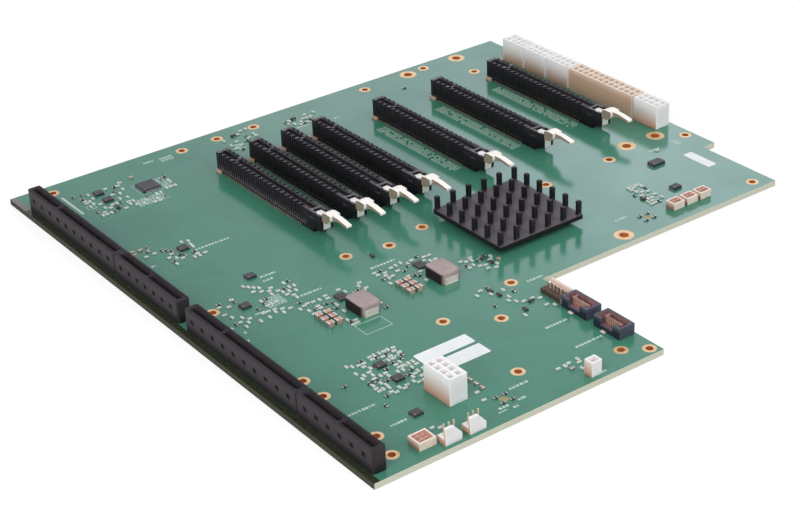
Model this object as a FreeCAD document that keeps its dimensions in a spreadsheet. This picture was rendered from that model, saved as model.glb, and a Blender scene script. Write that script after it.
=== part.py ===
import FreeCAD
import Part
import Sketcher
import math
import os
from types import SimpleNamespace

# Driving dimensions in millimetres. Heights of pieces are above the board's top face.
dimensions = {
    # printed circuit board: an L with a shallow step in its right edge
    "board_width": 320.0,
    "board_length": 323.0,
    "board_thickness": 3.0,
    "tail_width": 156.0,
    "tail_length": 81.5,
    "step_depth": 8.5,
    "step_length": 52.0,
    "mount_hole_diameter": 3.6,
    "large_hole_diameter": 5.0,
    # bolt patterns in the board: the holes of each one stand on a rectangle or on a line
    "inner_pattern_width": 46.0,
    "inner_pattern_length": 155.0,
    "outer_pattern_width": 99.8,
    "outer_pattern_length": 160.0,
    "left_line_length": 159.2,
    "right_line_length": 162.0,
    "front_line_width": 159.2,
    "tail_line_length": 54.0,
    # card slots, counted from the left, with their rear ends in one line
    "slot_pitch": 20.32,
    "slot_width": 7.5,
    "slot_height": 11.25,
    "slot_length": 97.5,
    "cradle_overhang": 6.5,
    "card_gap": 1.9,
    "card_depth": 8.2,
    "card_lead_in": 0.6,
    "slot_end_wall": 2.2,
    "rear_contact_length": 12.2,
    "key_length": 1.7,
    "slot_front_wall": 1.8,
    "cradle_gap": 4.6,
    "cradle_length": 8.5,
    "cradle_floor": 2.2,
    "cradle_underside": 3.0,
    "window_length": 3.6,
    "window_height": 2.2,
    "window_depth": 0.5,
    "window_middle": 8.6,
    "lock_width": 5.0,
    "lock_length": 1.6,
    "lock_height": 2.2,
    # card latch, hinged on half-round stubs in two grooves of the cradle
    "latch_pivot_inset": 4.0,
    "latch_pivot_height": 5.2,
    "stub_radius": 1.2,
    "stub_reach": 0.8,
    "stub_clearance": 0.06,
    "stub_end_clearance": 0.15,
    "latch_side_clearance": 0.2,
    "latch_end_clearance": 0.3,
    "latch_root_length": 3.6,
    "latch_root_depth": 1.8,
    "latch_root_rise": 5.2,
    "latch_width": 6.2,
    "latch_tongue_width": 3.2,
    "latch_block_bottom": 8.6,
    "latch_block_top": 13.0,
    "latch_block_length": 7.6,
    "latch_block_foot": 4.4,
    "latch_crown_height": 14.0,
    "latch_crown_start": 3.0,
    "latch_crown_end": 12.4,
    "latch_tip_reach": 19.5,
    "latch_tip_height": 13.0,
    "latch_tip_thickness": 1.2,
    "latch_tongue_thickness": 1.8,
    "latch_tongue_root": 2.7,
    # card-edge connectors for the host board, in one row along the left edge
    "host_width": 7.0,
    "host_height": 11.6,
    "host_long_length": 90.5,
    "host_b_length": 59.0,
    "host_d_length": 54.5,
    "host_gap": 6.6,
    "host_end_wall": 2.4,
    "host_corner": 0.8,
    "host_key_offset": 25.0,
    "host_window_length": 2.6,
    "host_window_height": 2.2,
    "host_window_depth": 1.0,
    "host_window_middle": 6.7,
    "host_window_inset": 6.3,
    # lane switch with its pin-fin heat sink
    "sink_from_right": 140.2,
    "sink_width": 52.4,
    "sink_clearance": 1.3,
    "sink_base_height": 2.5,
    "sink_pin_width": 2.2,
    "sink_pin_height": 7.3,
    "sink_pin_inset": 0.4,
    "switch_width": 35.0,
    "switch_height": 2.5,
    "pad_width": 30.0,
    "pad_height": 0.5,
    # power headers with square cavities and a latch ramp on the outer side
    "power_gap": 1.7,
    "power_pitch": 4.2,
    "power_width": 9.6,
    "power_height": 13.5,
    "power_end_wall": 1.05,
    "cavity_width": 3.3,
    "cavity_depth": 9.8,
    "ramp_width": 5.6,
    "ramp_depth": 1.4,
    "ramp_length": 6.5,
    "ramp_shelf": 4.5,
    "ramp_top": 2.0,
    "power_pin_width": 1.07,
    "power_pin_rise": 7.2,
    # walled headers: a base with a row of pins and a wall along one side
    "fan_length": 8.7,
    "fan_depth": 5.8,
    "fan_base_height": 3.0,
    "fan_wall_height": 8.6,
    "fan_cut_width": 4.5,
    "fan_cut_depth": 5.0,
    "notch_header_length": 14.4,
    "notch_header_depth": 7.6,
    "notch_header_base_height": 2.5,
    "notch_header_wall_height": 5.2,
    "header_wall": 1.2,
    "signal_pitch": 2.54,
    "signal_pin_width": 0.64,
    "fan_pin_rise": 5.6,
    "notch_header_pin_rise": 3.0,
    # wafer headers: boxes with an open top
    "wafer_wall": 0.9,
    "wafer_floor": 2.2,
    "wafer_pin_rise": 1.6,
    "wafer_width": 9.0,
    "wafer_length": 8.0,
    "wafer_height": 4.0,
    "small_width": 5.8,
    "small_length": 5.0,
    "small_height": 7.5,
    "side_width": 7.4,
    "side_length": 6.0,
    "side_height": 3.9,
    # shrouded data connectors at the edge of the notch
    "sata_width": 9.0,
    "sata_length": 17.4,
    "sata_height": 5.8,
    "sata_wall": 1.3,
    "sata_floor": 1.6,
    "sata_tongue_length": 11.2,
    "sata_tongue_width": 1.3,
    "sata_tongue_inset": 0.7,
    "sata_key_width": 2.0,
    "sata_window_length": 7.4,
    "sata_window_depth": 3.4,
    # power stage and flat chips
    "inductor_width": 11.5,
    "inductor_length": 14.0,
    "inductor_height": 6.0,
    "inductor_corner": 1.2,
    "inductor_crown": 0.7,
    "capacitor_length": 3.4,
    "capacitor_width": 2.8,
    "capacitor_height": 2.6,
    "capacitor_pitch": 4.6,
    "control_chip_width": 10.0,
    "control_chip_height": 1.5,
    "logic_chip_width": 5.0,
    "logic_chip_length": 4.4,
    "logic_chip_height": 1.3,
    "outline_chip_width": 8.0,
    "outline_chip_length": 5.2,
    "outline_chip_height": 1.7,
    "short_chip_width": 5.4,
    "short_chip_length": 4.0,
    "short_chip_height": 1.5,
}

# Places on the board: each is so far from an edge across the slots, and from an edge along them
places = {
    "inner_pattern": ("right", -199.0, "rear", -86.4),
    "outer_pattern": ("right", -149.7, "rear", -88.65),
    "left_line": ("left", 20.4, "rear", -88.2),
    "right_line": ("right", -55.9, "rear", -87.3),
    "front_line": ("right", -98.1, "notch", 6.5),
    "tail_line": ("left", 20.0, "front", 53.3),
    "tooling_hole_1": ("right", -36.4, "rear", -29.9),
    "tooling_hole_2": ("right", -5.0, "step", 16.9),
    "tooling_hole_3": ("notch", -37.5, "front", 65.9),
    "tooling_hole_4": ("notch", -59.5, "front", 80.6),
    "tooling_hole_5": ("notch", -60.3, "front", 26.7),
    "tooling_hole_6": ("notch", -14.8, "front", 11.3),
    "tooling_hole_7": ("notch", -4.4, "front", 4.3),
    "tooling_hole_8": ("left", 20.0, "front", 64.9),
    "tooling_hole_9": ("left", 17.0, "front", 11.6),
    "large_hole_1": ("right", -68.2, "rear", -7.9),
    "large_hole_2": ("right", -31.9, "rear", -7.2),
    "large_hole_3": ("right", -37.8, "rear", -162.1),
    "large_hole_4": ("right", -17.7, "rear", -162.7),
    "large_hole_5": ("right", -106.3, "notch", 6.8),
    "first_slot": ("right", -216.2, "rear", -42.5),
    "host_row": ("left", 6.5, "rear", -17.2),
    "power_row": ("right", -7.7, "rear", -27.3),
    "aux_power": ("left", 61.0, "front", 32.7),
    "fan_1": ("left", 41.5, "front", 4.8),
    "fan_2": ("left", 54.1, "front", 4.8),
    "wafer": ("left", 31.1, "front", 9.7),
    "small": ("notch", -36.8, "front", 4.9),
    "side_1": ("right", -67.1, "notch", 12.0),
    "side_2": ("right", -58.0, "notch", 12.0),
    "side_3": ("right", -48.9, "notch", 12.0),
    "notch_header": ("notch", -5.3, "front", 65.2),
    "sata_1": ("notch", -5.7, "front", 47.8),
    "sata_2": ("notch", -5.7, "front", 26.0),
    "inductor_1": ("right", -244.6, "rear", -209.7),
    "inductor_2": ("right", -198.7, "rear", -209.9),
    "capacitors_1": ("right", -262.6, "rear", -208.3),
    "capacitors_2": ("right", -217.0, "rear", -208.1),
    "control": ("left", 62.1, "rear", -35.1),
    "logic_1": ("left", 38.1, "rear", -25.3),
    "logic_2": ("left", 38.4, "rear", -35.0),
    "logic_3": ("left", 41.4, "rear", -105.7),
    "logic_4": ("left", 51.6, "rear", -150.8),
    "logic_5": ("left", 34.7, "rear", -173.0),
    "logic_6": ("left", 52.7, "front", 68.7),
    "logic_7": ("left", 52.5, "front", 55.2),
    "logic_8": ("left", 42.3, "front", 28.8),
    "outline_1": ("right", -41.0, "rear", -188.1),
    "outline_2": ("right", -52.7, "notch", 27.0),
}

# Slot positions in steps of the slot pitch
slot_steps = [0, 1, 2, 3, 5, 7, 9]

# Ways of a power header along its length
eight_way_columns = 4
long_header_columns = 12

# Windows in the side of each host connector, and pins along one side of the heat sink
long_host_windows = 10
host_b_windows = 7
host_d_windows = 6
sink_pins = 6

# Pins of the walled headers, capacitors of a bank and logic chips
fan_pins = 3
notch_header_pins = 6
bank_columns = 2
bank_rows = 3
logic_chips = 8


class Size:
    # A number of millimetres together with the sheet formula that gives it

    def __init__(self, value, formula):
        self.value = value
        self.formula = formula

    def __add__(self, other):
        other = as_size(other)
        return Size(self.value + other.value, f"({self.formula} + {other.formula})")

    def __radd__(self, other):
        return as_size(other) + self

    def __sub__(self, other):
        other = as_size(other)
        return Size(self.value - other.value, f"({self.formula} - {other.formula})")

    def __rsub__(self, other):
        return as_size(other) - self

    def __mul__(self, factor):
        return Size(self.value * factor, f"({self.formula} * ({factor}))")

    def __truediv__(self, factor):
        return Size(self.value / factor, f"({self.formula} / {factor})")

    def __neg__(self):
        return Size(-self.value, f"(0 - {self.formula})")


def as_size(number):
    if isinstance(number, Size):
        return number
    return Size(float(number), f"({number})")


document = FreeCAD.newDocument("pcie_backplane")
sheet = document.addObject("Spreadsheet::Sheet", "Sizes")
sub_parts = []


def write_sheet(cells):
    # Each cell gets its name as alias, and is handed back as a Size
    named = SimpleNamespace()
    for row, (name, value) in enumerate(cells.items(), start=1):
        sheet.set(f"A{row}", name)
        sheet.set(f"B{row}", str(value))
        sheet.setAlias(f"B{row}", name)
        setattr(named, name, Size(value, f"Sizes.{name}"))
    return named


all_cells = dict(dimensions)
for place_name, (x_edge, x_distance, y_edge, y_distance) in places.items():
    all_cells[f"{place_name}_x"] = x_distance
    all_cells[f"{place_name}_y"] = y_distance
size = write_sheet(all_cells)
document.recompute()

# Edges of the board that places are measured from
edges_across = {
    "left": -size.board_width / 2,
    "right": size.board_width / 2,
    "notch": size.tail_width - size.board_width / 2,
    "step": size.board_width / 2 - size.step_depth,
}
edges_along = {
    "front": -size.board_length / 2,
    "rear": size.board_length / 2,
    "notch": size.tail_length - size.board_length / 2,
    "step": size.tail_length + size.step_length - size.board_length / 2,
}


def place_of(name):
    x_edge, _, y_edge, _ = places[name]
    x = edges_across[x_edge] + getattr(size, f"{name}_x")
    y = edges_along[y_edge] + getattr(size, f"{name}_y")
    return x, y


def bind(target, property_name, amount):
    target.setExpression(property_name, as_size(amount).formula)


def put(target, x, y, z):
    bind(target, "Placement.Base.x", x)
    bind(target, "Placement.Base.y", y)
    bind(target, "Placement.Base.z", z)


def new_body(label, x, y, z):
    body = document.addObject("PartDesign::Body", label)
    body.Label = label
    put(body, x, y, z)
    sub_parts.append(body)
    return body


def new_sketch(body, name, plane, offset=0):
    sketch = body.newObject("Sketcher::SketchObject", name)
    support = [feature for feature in body.Origin.OriginFeatures if feature.Role == plane]
    sketch.AttachmentSupport = [(support[0], "")]
    sketch.MapMode = "FlatFace"
    bind(sketch, "AttachmentOffset.Base.z", offset)
    return sketch


def pin_point(sketch, geometry, point, x, y):
    # Hold one point of a sketch at its distances from the sketch's origin
    for kind, amount in (("DistanceX", as_size(x)), ("DistanceY", as_size(y))):
        rule = Sketcher.Constraint(kind, -1, 1, geometry, point, amount.value)
        index = sketch.addConstraint(rule)
        bind(sketch, f"Constraints[{index}]", amount)


def polygon(sketch, corners):
    first = sketch.GeometryCount
    points = [FreeCAD.Vector(as_size(x).value, as_size(y).value, 0) for x, y in corners]
    for start, end in zip(points, points[1:] + points[:1]):
        sketch.addGeometry(Part.LineSegment(start, end))
    for index, (x, y) in enumerate(corners):
        following = first + (index + 1) % len(corners)
        sketch.addConstraint(Sketcher.Constraint("Coincident", first + index, 2, following, 1))
        pin_point(sketch, first + index, 1, x, y)


def rectangle(sketch, x_low, x_high, y_low, y_high):
    polygon(sketch, [(x_low, y_low), (x_high, y_low), (x_high, y_high), (x_low, y_high)])


def circle(sketch, x, y, radius):
    centre = FreeCAD.Vector(as_size(x).value, as_size(y).value, 0)
    shape = Part.Circle(centre, FreeCAD.Vector(0, 0, 1), radius.value)
    index = sketch.addGeometry(shape)
    pin_point(sketch, index, 3, x, y)
    rule = sketch.addConstraint(Sketcher.Constraint("Radius", index, radius.value))
    bind(sketch, f"Constraints[{rule}]", radius)


def half_round(sketch, radius):
    # The lower half of a disc about the sketch's origin
    disc = Part.Circle(FreeCAD.Vector(0, 0, 0), FreeCAD.Vector(0, 0, 1), radius.value)
    arc = sketch.addGeometry(Part.ArcOfCircle(disc, math.pi, 2 * math.pi))
    ends = [FreeCAD.Vector(radius.value, 0, 0), FreeCAD.Vector(-radius.value, 0, 0)]
    chord = sketch.addGeometry(Part.LineSegment(*ends))
    sketch.addConstraint(Sketcher.Constraint("Coincident", arc, 2, chord, 1))
    sketch.addConstraint(Sketcher.Constraint("Coincident", chord, 2, arc, 1))
    sketch.addConstraint(Sketcher.Constraint("Coincident", arc, 3, -1, 1))
    sketch.addConstraint(Sketcher.Constraint("PointOnObject", arc, 1, -1))
    sketch.addConstraint(Sketcher.Constraint("Horizontal", chord))
    rule = sketch.addConstraint(Sketcher.Constraint("Radius", arc, radius.value))
    bind(sketch, f"Constraints[{rule}]", radius)


def pad(body, name, sketch, length, side="One side"):
    feature = body.newObject("PartDesign::Pad", name)
    feature.Profile = sketch
    feature.SideType = side
    bind(feature, "Length", length)
    return feature


def pocket(body, name, sketch, depth, side="One side", reverse=False):
    feature = body.newObject("PartDesign::Pocket", name)
    feature.Profile = sketch
    feature.SideType = side
    feature.Reversed = reverse
    bind(feature, "Length", depth)
    return feature


def grid_pattern(body, name, original, sketch, columns, column_pitch, rows=1, row_pitch=0):
    # Copies along the sketch's own horizontal axis, and along its vertical axis
    feature = body.newObject("PartDesign::LinearPattern", name)
    feature.Originals = [original]
    feature.Direction = (sketch, ["H_Axis"])
    feature.Mode = "Spacing"
    feature.Occurrences = columns
    bind(feature, "Offset", column_pitch)
    if rows > 1:
        feature.Direction2 = (sketch, ["V_Axis"])
        feature.Mode2 = "Spacing"
        feature.Occurrences2 = rows
        feature.Spacings2 = [-1.0] * (rows - 1)
        bind(feature, "Offset2", row_pitch)
    body.Tip = feature
    return feature


def bevel_edges(body, name, feature, wanted, amount):
    # Bevel the edges of the newest feature that a test picks out
    document.recompute()
    edges = feature.Shape.Edges
    names = [f"Edge{index}" for index, edge in enumerate(edges, start=1) if wanted(edge)]
    bevel = body.newObject("PartDesign::Chamfer", name)
    bevel.Base = (feature, names)
    bind(bevel, "Size", amount)
    return bevel


def is_upright(edge):
    along = edge.Vertexes[-1].Point - edge.Vertexes[0].Point
    return abs(along.x) < 1e-6 and abs(along.y) < 1e-6


def box(name, x, y, z, width, length, height):
    # A plain block, given by its lowest corner
    block = document.addObject("Part::Box", name)
    block.Label = name
    bind(block, "Length", width)
    bind(block, "Width", length)
    bind(block, "Height", height)
    put(block, x, y, z)
    return block


def centred_box(name, x, y, z, width, length, height):
    return box(name, x - as_size(width) / 2, y - as_size(length) / 2, z, width, length, height)


def group(label, solids):
    # Separate like solids in one sub-part
    compound = document.addObject("Part::Compound", label)
    compound.Label = label
    compound.Links = solids
    sub_parts.append(compound)


# Printed circuit board
def board_holes(sketch):
    small = size.mount_hole_diameter / 2
    for pattern in ("inner_pattern", "outer_pattern"):
        x, y = place_of(pattern)
        half_width = getattr(size, f"{pattern}_width") / 2
        half_length = getattr(size, f"{pattern}_length") / 2
        for hole_x in (x - half_width, x + half_width):
            for hole_y in (y - half_length, y + half_length):
                circle(sketch, hole_x, hole_y, small)
    for line in ("left_line", "right_line", "tail_line"):
        x, y = place_of(line)
        half_length = getattr(size, f"{line}_length") / 2
        circle(sketch, x, y - half_length, small)
        circle(sketch, x, y + half_length, small)
    x, y = place_of("front_line")
    circle(sketch, x - size.front_line_width / 2, y, small)
    circle(sketch, x + size.front_line_width / 2, y, small)
    for name in places:
        if name.startswith("tooling_hole"):
            circle(sketch, *place_of(name), small)
        elif name.startswith("large_hole"):
            circle(sketch, *place_of(name), size.large_hole_diameter / 2)


def circuit_board():
    body = new_body("circuit_board", 0, 0, 0)
    corners = [
        ("left", "front"),
        ("notch", "front"),
        ("notch", "notch"),
        ("step", "notch"),
        ("step", "step"),
        ("right", "step"),
        ("right", "rear"),
        ("left", "rear"),
    ]
    outline = new_sketch(body, "board_outline", "XY_Plane")
    polygon(outline, [(edges_across[x_edge], edges_along[y_edge]) for x_edge, y_edge in corners])
    pad(body, "board_sheet", outline, size.board_thickness)
    holes = new_sketch(body, "board_holes", "XY_Plane", size.board_thickness)
    board_holes(holes)
    pocket(body, "board_drilling", holes, size.board_thickness)


# Card slots and their latches
def card_gap_cut(body, label, top, rear_wall, lengths, key):
    # The gap that takes the card's edge, in stretches parted by the key, with a sloping lead-in
    half = size.card_gap / 2
    plan = new_sketch(body, f"{label}_card_plan", "XY_Plane", top)
    y = -rear_wall
    for length in lengths:
        rectangle(plan, -half, half, y - length, y)
        y = y - length - key
    pocket(body, f"{label}_card_gap", plan, size.card_depth)
    lead_in = new_sketch(body, f"{label}_lead_in_profile", "XZ_Plane", rear_wall)
    polygon(lead_in, [
        (-half, top - size.card_lead_in),
        (half, top - size.card_lead_in),
        (half + size.card_lead_in, top),
        (-half - size.card_lead_in, top),
    ])
    whole = -rear_wall - y - key
    pocket(body, f"{label}_lead_in", lead_in, whole, reverse=True)


def pcie_slot(label, x, rear_y):
    body = new_body(label, x, rear_y, size.board_thickness)
    top = size.slot_height
    base_end = size.cradle_overhang - size.slot_length
    side = new_sketch(body, f"{label}_side", "YZ_Plane")
    polygon(side, [
        (-size.slot_length, size.cradle_underside),
        (base_end, size.cradle_underside),
        (base_end, 0),
        (0, 0),
        (0, top),
        (-size.slot_length, top),
    ])
    pad(body, f"{label}_housing", side, size.slot_width, "Symmetric")
    front_end = size.slot_length - size.cradle_length - size.slot_front_wall
    before_key = size.slot_end_wall + size.rear_contact_length + size.key_length
    stretches = [size.rear_contact_length, front_end - before_key]
    card_gap_cut(body, label, top, size.slot_end_wall, stretches, size.key_length)
    half_gap = size.cradle_gap / 2
    cradle = new_sketch(body, f"{label}_cradle_plan", "XY_Plane", top)
    rectangle(cradle, -half_gap, half_gap, -size.slot_length, size.cradle_length - size.slot_length)
    pocket(body, f"{label}_cradle", cradle, top - size.cradle_floor)
    groove = new_sketch(body, f"{label}_groove_outline", "YZ_Plane")
    pivot_y = size.latch_pivot_inset - size.slot_length
    reach = size.stub_radius + size.stub_clearance
    rectangle(groove, pivot_y - reach, pivot_y + reach, size.latch_pivot_height - reach, top)
    groove_span = size.cradle_gap + (size.stub_reach + size.stub_end_clearance) * 2
    pocket(body, f"{label}_stub_grooves", groove, groove_span, "Symmetric")
    window_y = size.cradle_length - size.slot_length
    for side_name, offset, reverse in (
        ("right", size.slot_width / 2, False),
        ("left", -size.slot_width / 2, True),
    ):
        window = new_sketch(body, f"{label}_{side_name}_window_outline", "YZ_Plane", offset)
        rectangle(
            window,
            window_y - size.window_length / 2,
            window_y + size.window_length / 2,
            size.window_middle - size.window_height / 2,
            size.window_middle + size.window_height / 2,
        )
        pocket(body, f"{label}_{side_name}_window", window, size.window_depth, reverse=reverse)


def slot_latch(label, x, rear_y):
    # Drawn about its pivot: forward along the slot is negative, and heights count from the pivot
    pivot_y = rear_y + size.latch_pivot_inset - size.slot_length
    body = new_body(label, x, pivot_y, size.board_thickness + size.latch_pivot_height)
    face = -size.latch_pivot_inset - size.latch_end_clearance
    slot_front = -size.latch_pivot_inset
    pivot_height = size.latch_pivot_height
    root_width = size.cradle_gap - size.latch_side_clearance * 2
    root = new_sketch(body, f"{label}_root_side", "YZ_Plane")
    polygon(root, [
        (size.latch_root_length, -size.latch_root_depth),
        (size.latch_root_length, size.latch_root_rise),
        (slot_front - size.latch_crown_start, size.latch_root_rise),
        (slot_front - size.latch_crown_start, size.latch_block_bottom - pivot_height),
        (face, size.latch_block_bottom - pivot_height),
        (face + size.latch_end_clearance, -size.latch_root_depth),
    ])
    pad(body, f"{label}_root", root, root_width, "Symmetric")
    block = new_sketch(body, f"{label}_block_side", "YZ_Plane")
    tongue_underside = size.latch_crown_height - size.latch_tongue_root - pivot_height
    block_front = slot_front - size.latch_block_length
    polygon(block, [
        (face, size.latch_block_bottom - pivot_height),
        (slot_front - size.latch_block_foot, size.latch_block_bottom - pivot_height),
        (block_front, tongue_underside),
        (block_front, size.latch_crown_height - pivot_height),
        (slot_front - size.latch_crown_start, size.latch_crown_height - pivot_height),
        (face, size.latch_block_top - pivot_height),
    ])
    pad(body, f"{label}_block", block, size.latch_width, "Symmetric")
    tongue = new_sketch(body, f"{label}_tongue_side", "YZ_Plane")
    tip_y = slot_front - size.latch_tip_reach
    crown_y = slot_front - size.latch_crown_end
    polygon(tongue, [
        (block_front, tongue_underside),
        (crown_y, size.latch_crown_height - size.latch_tongue_thickness - pivot_height),
        (tip_y, size.latch_tip_height - size.latch_tip_thickness - pivot_height),
        (tip_y, size.latch_tip_height - pivot_height),
        (crown_y, size.latch_crown_height - pivot_height),
        (block_front, size.latch_crown_height - pivot_height),
    ])
    pad(body, f"{label}_tongue", tongue, size.latch_tongue_width, "Symmetric")
    stub = new_sketch(body, f"{label}_stub_profile", "YZ_Plane")
    half_round(stub, size.stub_radius)
    pad(body, f"{label}_stubs", stub, size.cradle_gap + size.stub_reach * 2, "Symmetric")


def slots_and_latches():
    locks = []
    first_x, rear_y = place_of("first_slot")
    lock_y = rear_y + size.lock_length / 2
    for number, step in enumerate(slot_steps, start=1):
        x = first_x + size.slot_pitch * step
        pcie_slot(f"pcie_slot_{number}", x, rear_y)
        slot_latch(f"slot_latch_{number}", x, rear_y)
        locks.append(centred_box(
            f"board_lock_{number}", x, lock_y, size.board_thickness,
            size.lock_width, size.lock_length, size.lock_height,
        ))
    group("slot_board_locks", locks)


# Host connectors
def host_connector(letter, x, rear_y, length, windows):
    label = f"host_connector_{letter}"
    body = new_body(label, x, rear_y, size.board_thickness)
    half = size.host_width / 2
    plan = new_sketch(body, f"{label}_plan", "XY_Plane")
    rectangle(plan, -half, half, -length, 0)
    housing = pad(body, f"{label}_housing", plan, size.host_height)
    bevel_edges(body, f"{label}_corners", housing, is_upright, size.host_corner)
    inside = length - size.host_end_wall * 2
    after_key = inside - size.host_key_offset - size.key_length
    stretches = [size.host_key_offset, after_key]
    card_gap_cut(body, label, size.host_height, size.host_end_wall, stretches, size.key_length)
    first_y = size.host_window_inset - length
    window = new_sketch(body, f"{label}_window_outline", "YZ_Plane", -half)
    rectangle(
        window,
        first_y - size.host_window_length / 2,
        first_y + size.host_window_length / 2,
        size.host_window_middle - size.host_window_height / 2,
        size.host_window_middle + size.host_window_height / 2,
    )
    cut = pocket(body, f"{label}_window", window, size.host_window_depth, reverse=True)
    pitch = (length - size.host_window_inset * 2) / (windows - 1)
    grid_pattern(body, f"{label}_windows", cut, window, windows, pitch)


def host_row():
    x, rear_y = place_of("host_row")
    host_connector("a", x, rear_y, size.host_long_length, long_host_windows)
    rear_y = rear_y - size.host_long_length
    host_connector("b", x, rear_y, size.host_b_length, host_b_windows)
    rear_y = rear_y - size.host_b_length - size.host_gap
    host_connector("c", x, rear_y, size.host_long_length, long_host_windows)
    rear_y = rear_y - size.host_long_length
    host_connector("d", x, rear_y, size.host_d_length, host_d_windows)


# Lane switch and heat sink
def heat_sink(x, y):
    bottom = size.board_thickness + size.switch_height + size.pad_height
    body = new_body("heat_sink", x, y, bottom)
    half = size.sink_width / 2
    plan = new_sketch(body, "sink_plan", "XY_Plane")
    rectangle(plan, -half, half, -half, half)
    pad(body, "sink_base", plan, size.sink_base_height)
    pin_plan = new_sketch(body, "sink_pin_plan", "XY_Plane", size.sink_base_height)
    low = size.sink_pin_inset - half
    rectangle(pin_plan, low, low + size.sink_pin_width, low, low + size.sink_pin_width)
    pin = pad(body, "sink_pin", pin_plan, size.sink_pin_height)
    pitch = (size.sink_width - size.sink_pin_inset * 2 - size.sink_pin_width) / (sink_pins - 1)
    grid_pattern(body, "sink_pins", pin, pin_plan, sink_pins, pitch, sink_pins, pitch)


def switch():
    # The heat sink ends just clear of the latches of the slots behind it
    x = edges_across["right"] - size.sink_from_right
    latch_tips = place_of("first_slot")[1] - size.slot_length - size.latch_tip_reach
    y = latch_tips - size.sink_clearance - size.sink_width / 2
    chip_z = size.board_thickness
    pad_z = chip_z + size.switch_height
    sub_parts.append(centred_box(
        "switch_chip", x, y, chip_z,
        size.switch_width, size.switch_width, size.switch_height,
    ))
    sub_parts.append(centred_box(
        "thermal_pad", x, y, pad_z,
        size.pad_width, size.pad_width, size.pad_height,
    ))
    heat_sink(x, y)


# Power headers
def power_header_length(columns):
    return size.power_pitch * (columns - 1) + size.cavity_width + size.power_end_wall * 2


def power_header(label, x, y, columns, pins):
    length = power_header_length(columns)
    body = new_body(label, x, y, size.board_thickness)
    half = size.power_width / 2
    plan = new_sketch(body, f"{label}_plan", "XY_Plane")
    rectangle(plan, -half, half, -length / 2, length / 2)
    pad(body, f"{label}_housing", plan, size.power_height)
    ramp = new_sketch(body, f"{label}_ramp_profile", "XZ_Plane")
    shelf = size.power_height - size.ramp_shelf
    polygon(ramp, [
        (half, size.power_height - size.ramp_top - size.ramp_length),
        (half + size.ramp_depth, shelf - size.ramp_depth),
        (half + size.ramp_depth, shelf),
        (half, size.power_height - size.ramp_top),
    ])
    pad(body, f"{label}_ramp", ramp, size.ramp_width, "Symmetric")
    cavity = new_sketch(body, f"{label}_cavity_plan", "XY_Plane", size.power_height)
    first_x = -size.power_pitch / 2
    first_y = size.power_pitch * (1 - columns) / 2
    reach = size.cavity_width / 2
    rectangle(cavity, first_x - reach, first_x + reach, first_y - reach, first_y + reach)
    cut = pocket(body, f"{label}_cavity", cavity, size.cavity_depth)
    pitch = size.power_pitch
    grid_pattern(body, f"{label}_cavities", cut, cavity, 2, pitch, columns, pitch)
    pin_z = size.board_thickness + size.power_height - size.cavity_depth
    for row in range(2):
        for column in range(columns):
            pins.append(centred_box(
                f"{label}_pin_{row}_{column}",
                x + first_x + pitch * row, y + first_y + pitch * column, pin_z,
                size.power_pin_width, size.power_pin_width, size.power_pin_rise,
            ))


def power_headers():
    pins = []
    row = [
        ("power_header_1", eight_way_columns),
        ("power_header_2", eight_way_columns),
        ("power_header_3", eight_way_columns),
        ("power_header_24", long_header_columns),
        ("power_header_4", eight_way_columns),
    ]
    x, rear_y = place_of("power_row")
    for label, columns in row:
        length = power_header_length(columns)
        power_header(label, x, rear_y - length / 2, columns, pins)
        rear_y = rear_y - length - size.power_gap
    power_header("aux_power_header", *place_of("aux_power"), eight_way_columns, pins)
    group("power_header_pins", pins)


# Small headers with square pins
def signal_pins(label, x, y, z, columns, rows, rise):
    pins = []
    pitch = size.signal_pitch
    for column in range(columns):
        for row in range(rows):
            pins.append(centred_box(
                f"{label}_pin_{column}_{row}",
                x + pitch * (column - (columns - 1) / 2), y + pitch * (row - (rows - 1) / 2), z,
                size.signal_pin_width, size.signal_pin_width, rise,
            ))
    return pins


def wall_profile(sketch, depth, wall_side, base_height, wall_height):
    # A base with a wall along its low side (-1) or its high side (1)
    outer = depth / 2 * wall_side
    inner = outer - size.header_wall * wall_side
    polygon(sketch, [
        (-outer, 0),
        (outer, 0),
        (outer, wall_height),
        (inner, wall_height),
        (inner, base_height),
        (-outer, base_height),
    ])


def fan_header(label, x, y):
    body = new_body(label, x, y, size.board_thickness)
    side = new_sketch(body, f"{label}_side", "YZ_Plane")
    wall_profile(side, size.fan_depth, -1, size.fan_base_height, size.fan_wall_height)
    pad(body, f"{label}_body", side, size.fan_length, "Symmetric")
    half = size.fan_length / 2
    corner = new_sketch(body, f"{label}_wall_corner", "XZ_Plane")
    polygon(corner, [
        (half - size.fan_cut_width, size.fan_wall_height),
        (half, size.fan_wall_height - size.fan_cut_depth),
        (half, size.fan_wall_height),
    ])
    pocket(body, f"{label}_wall_cut", corner, size.fan_depth, "Symmetric")
    pin_y = y + size.header_wall / 2
    pin_z = size.board_thickness + size.fan_base_height
    return signal_pins(label, x, pin_y, pin_z, fan_pins, 1, size.fan_pin_rise)


def notch_header(label, x, y):
    body = new_body(label, x, y, size.board_thickness)
    base_height = size.notch_header_base_height
    side = new_sketch(body, f"{label}_side", "XZ_Plane")
    wall_profile(side, size.notch_header_depth, 1, base_height, size.notch_header_wall_height)
    pad(body, f"{label}_body", side, size.notch_header_length, "Symmetric")
    pin_x = x - size.header_wall / 2
    pin_z = size.board_thickness + base_height
    return signal_pins(label, pin_x, y, pin_z, 1, notch_header_pins, size.notch_header_pin_rise)


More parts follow.
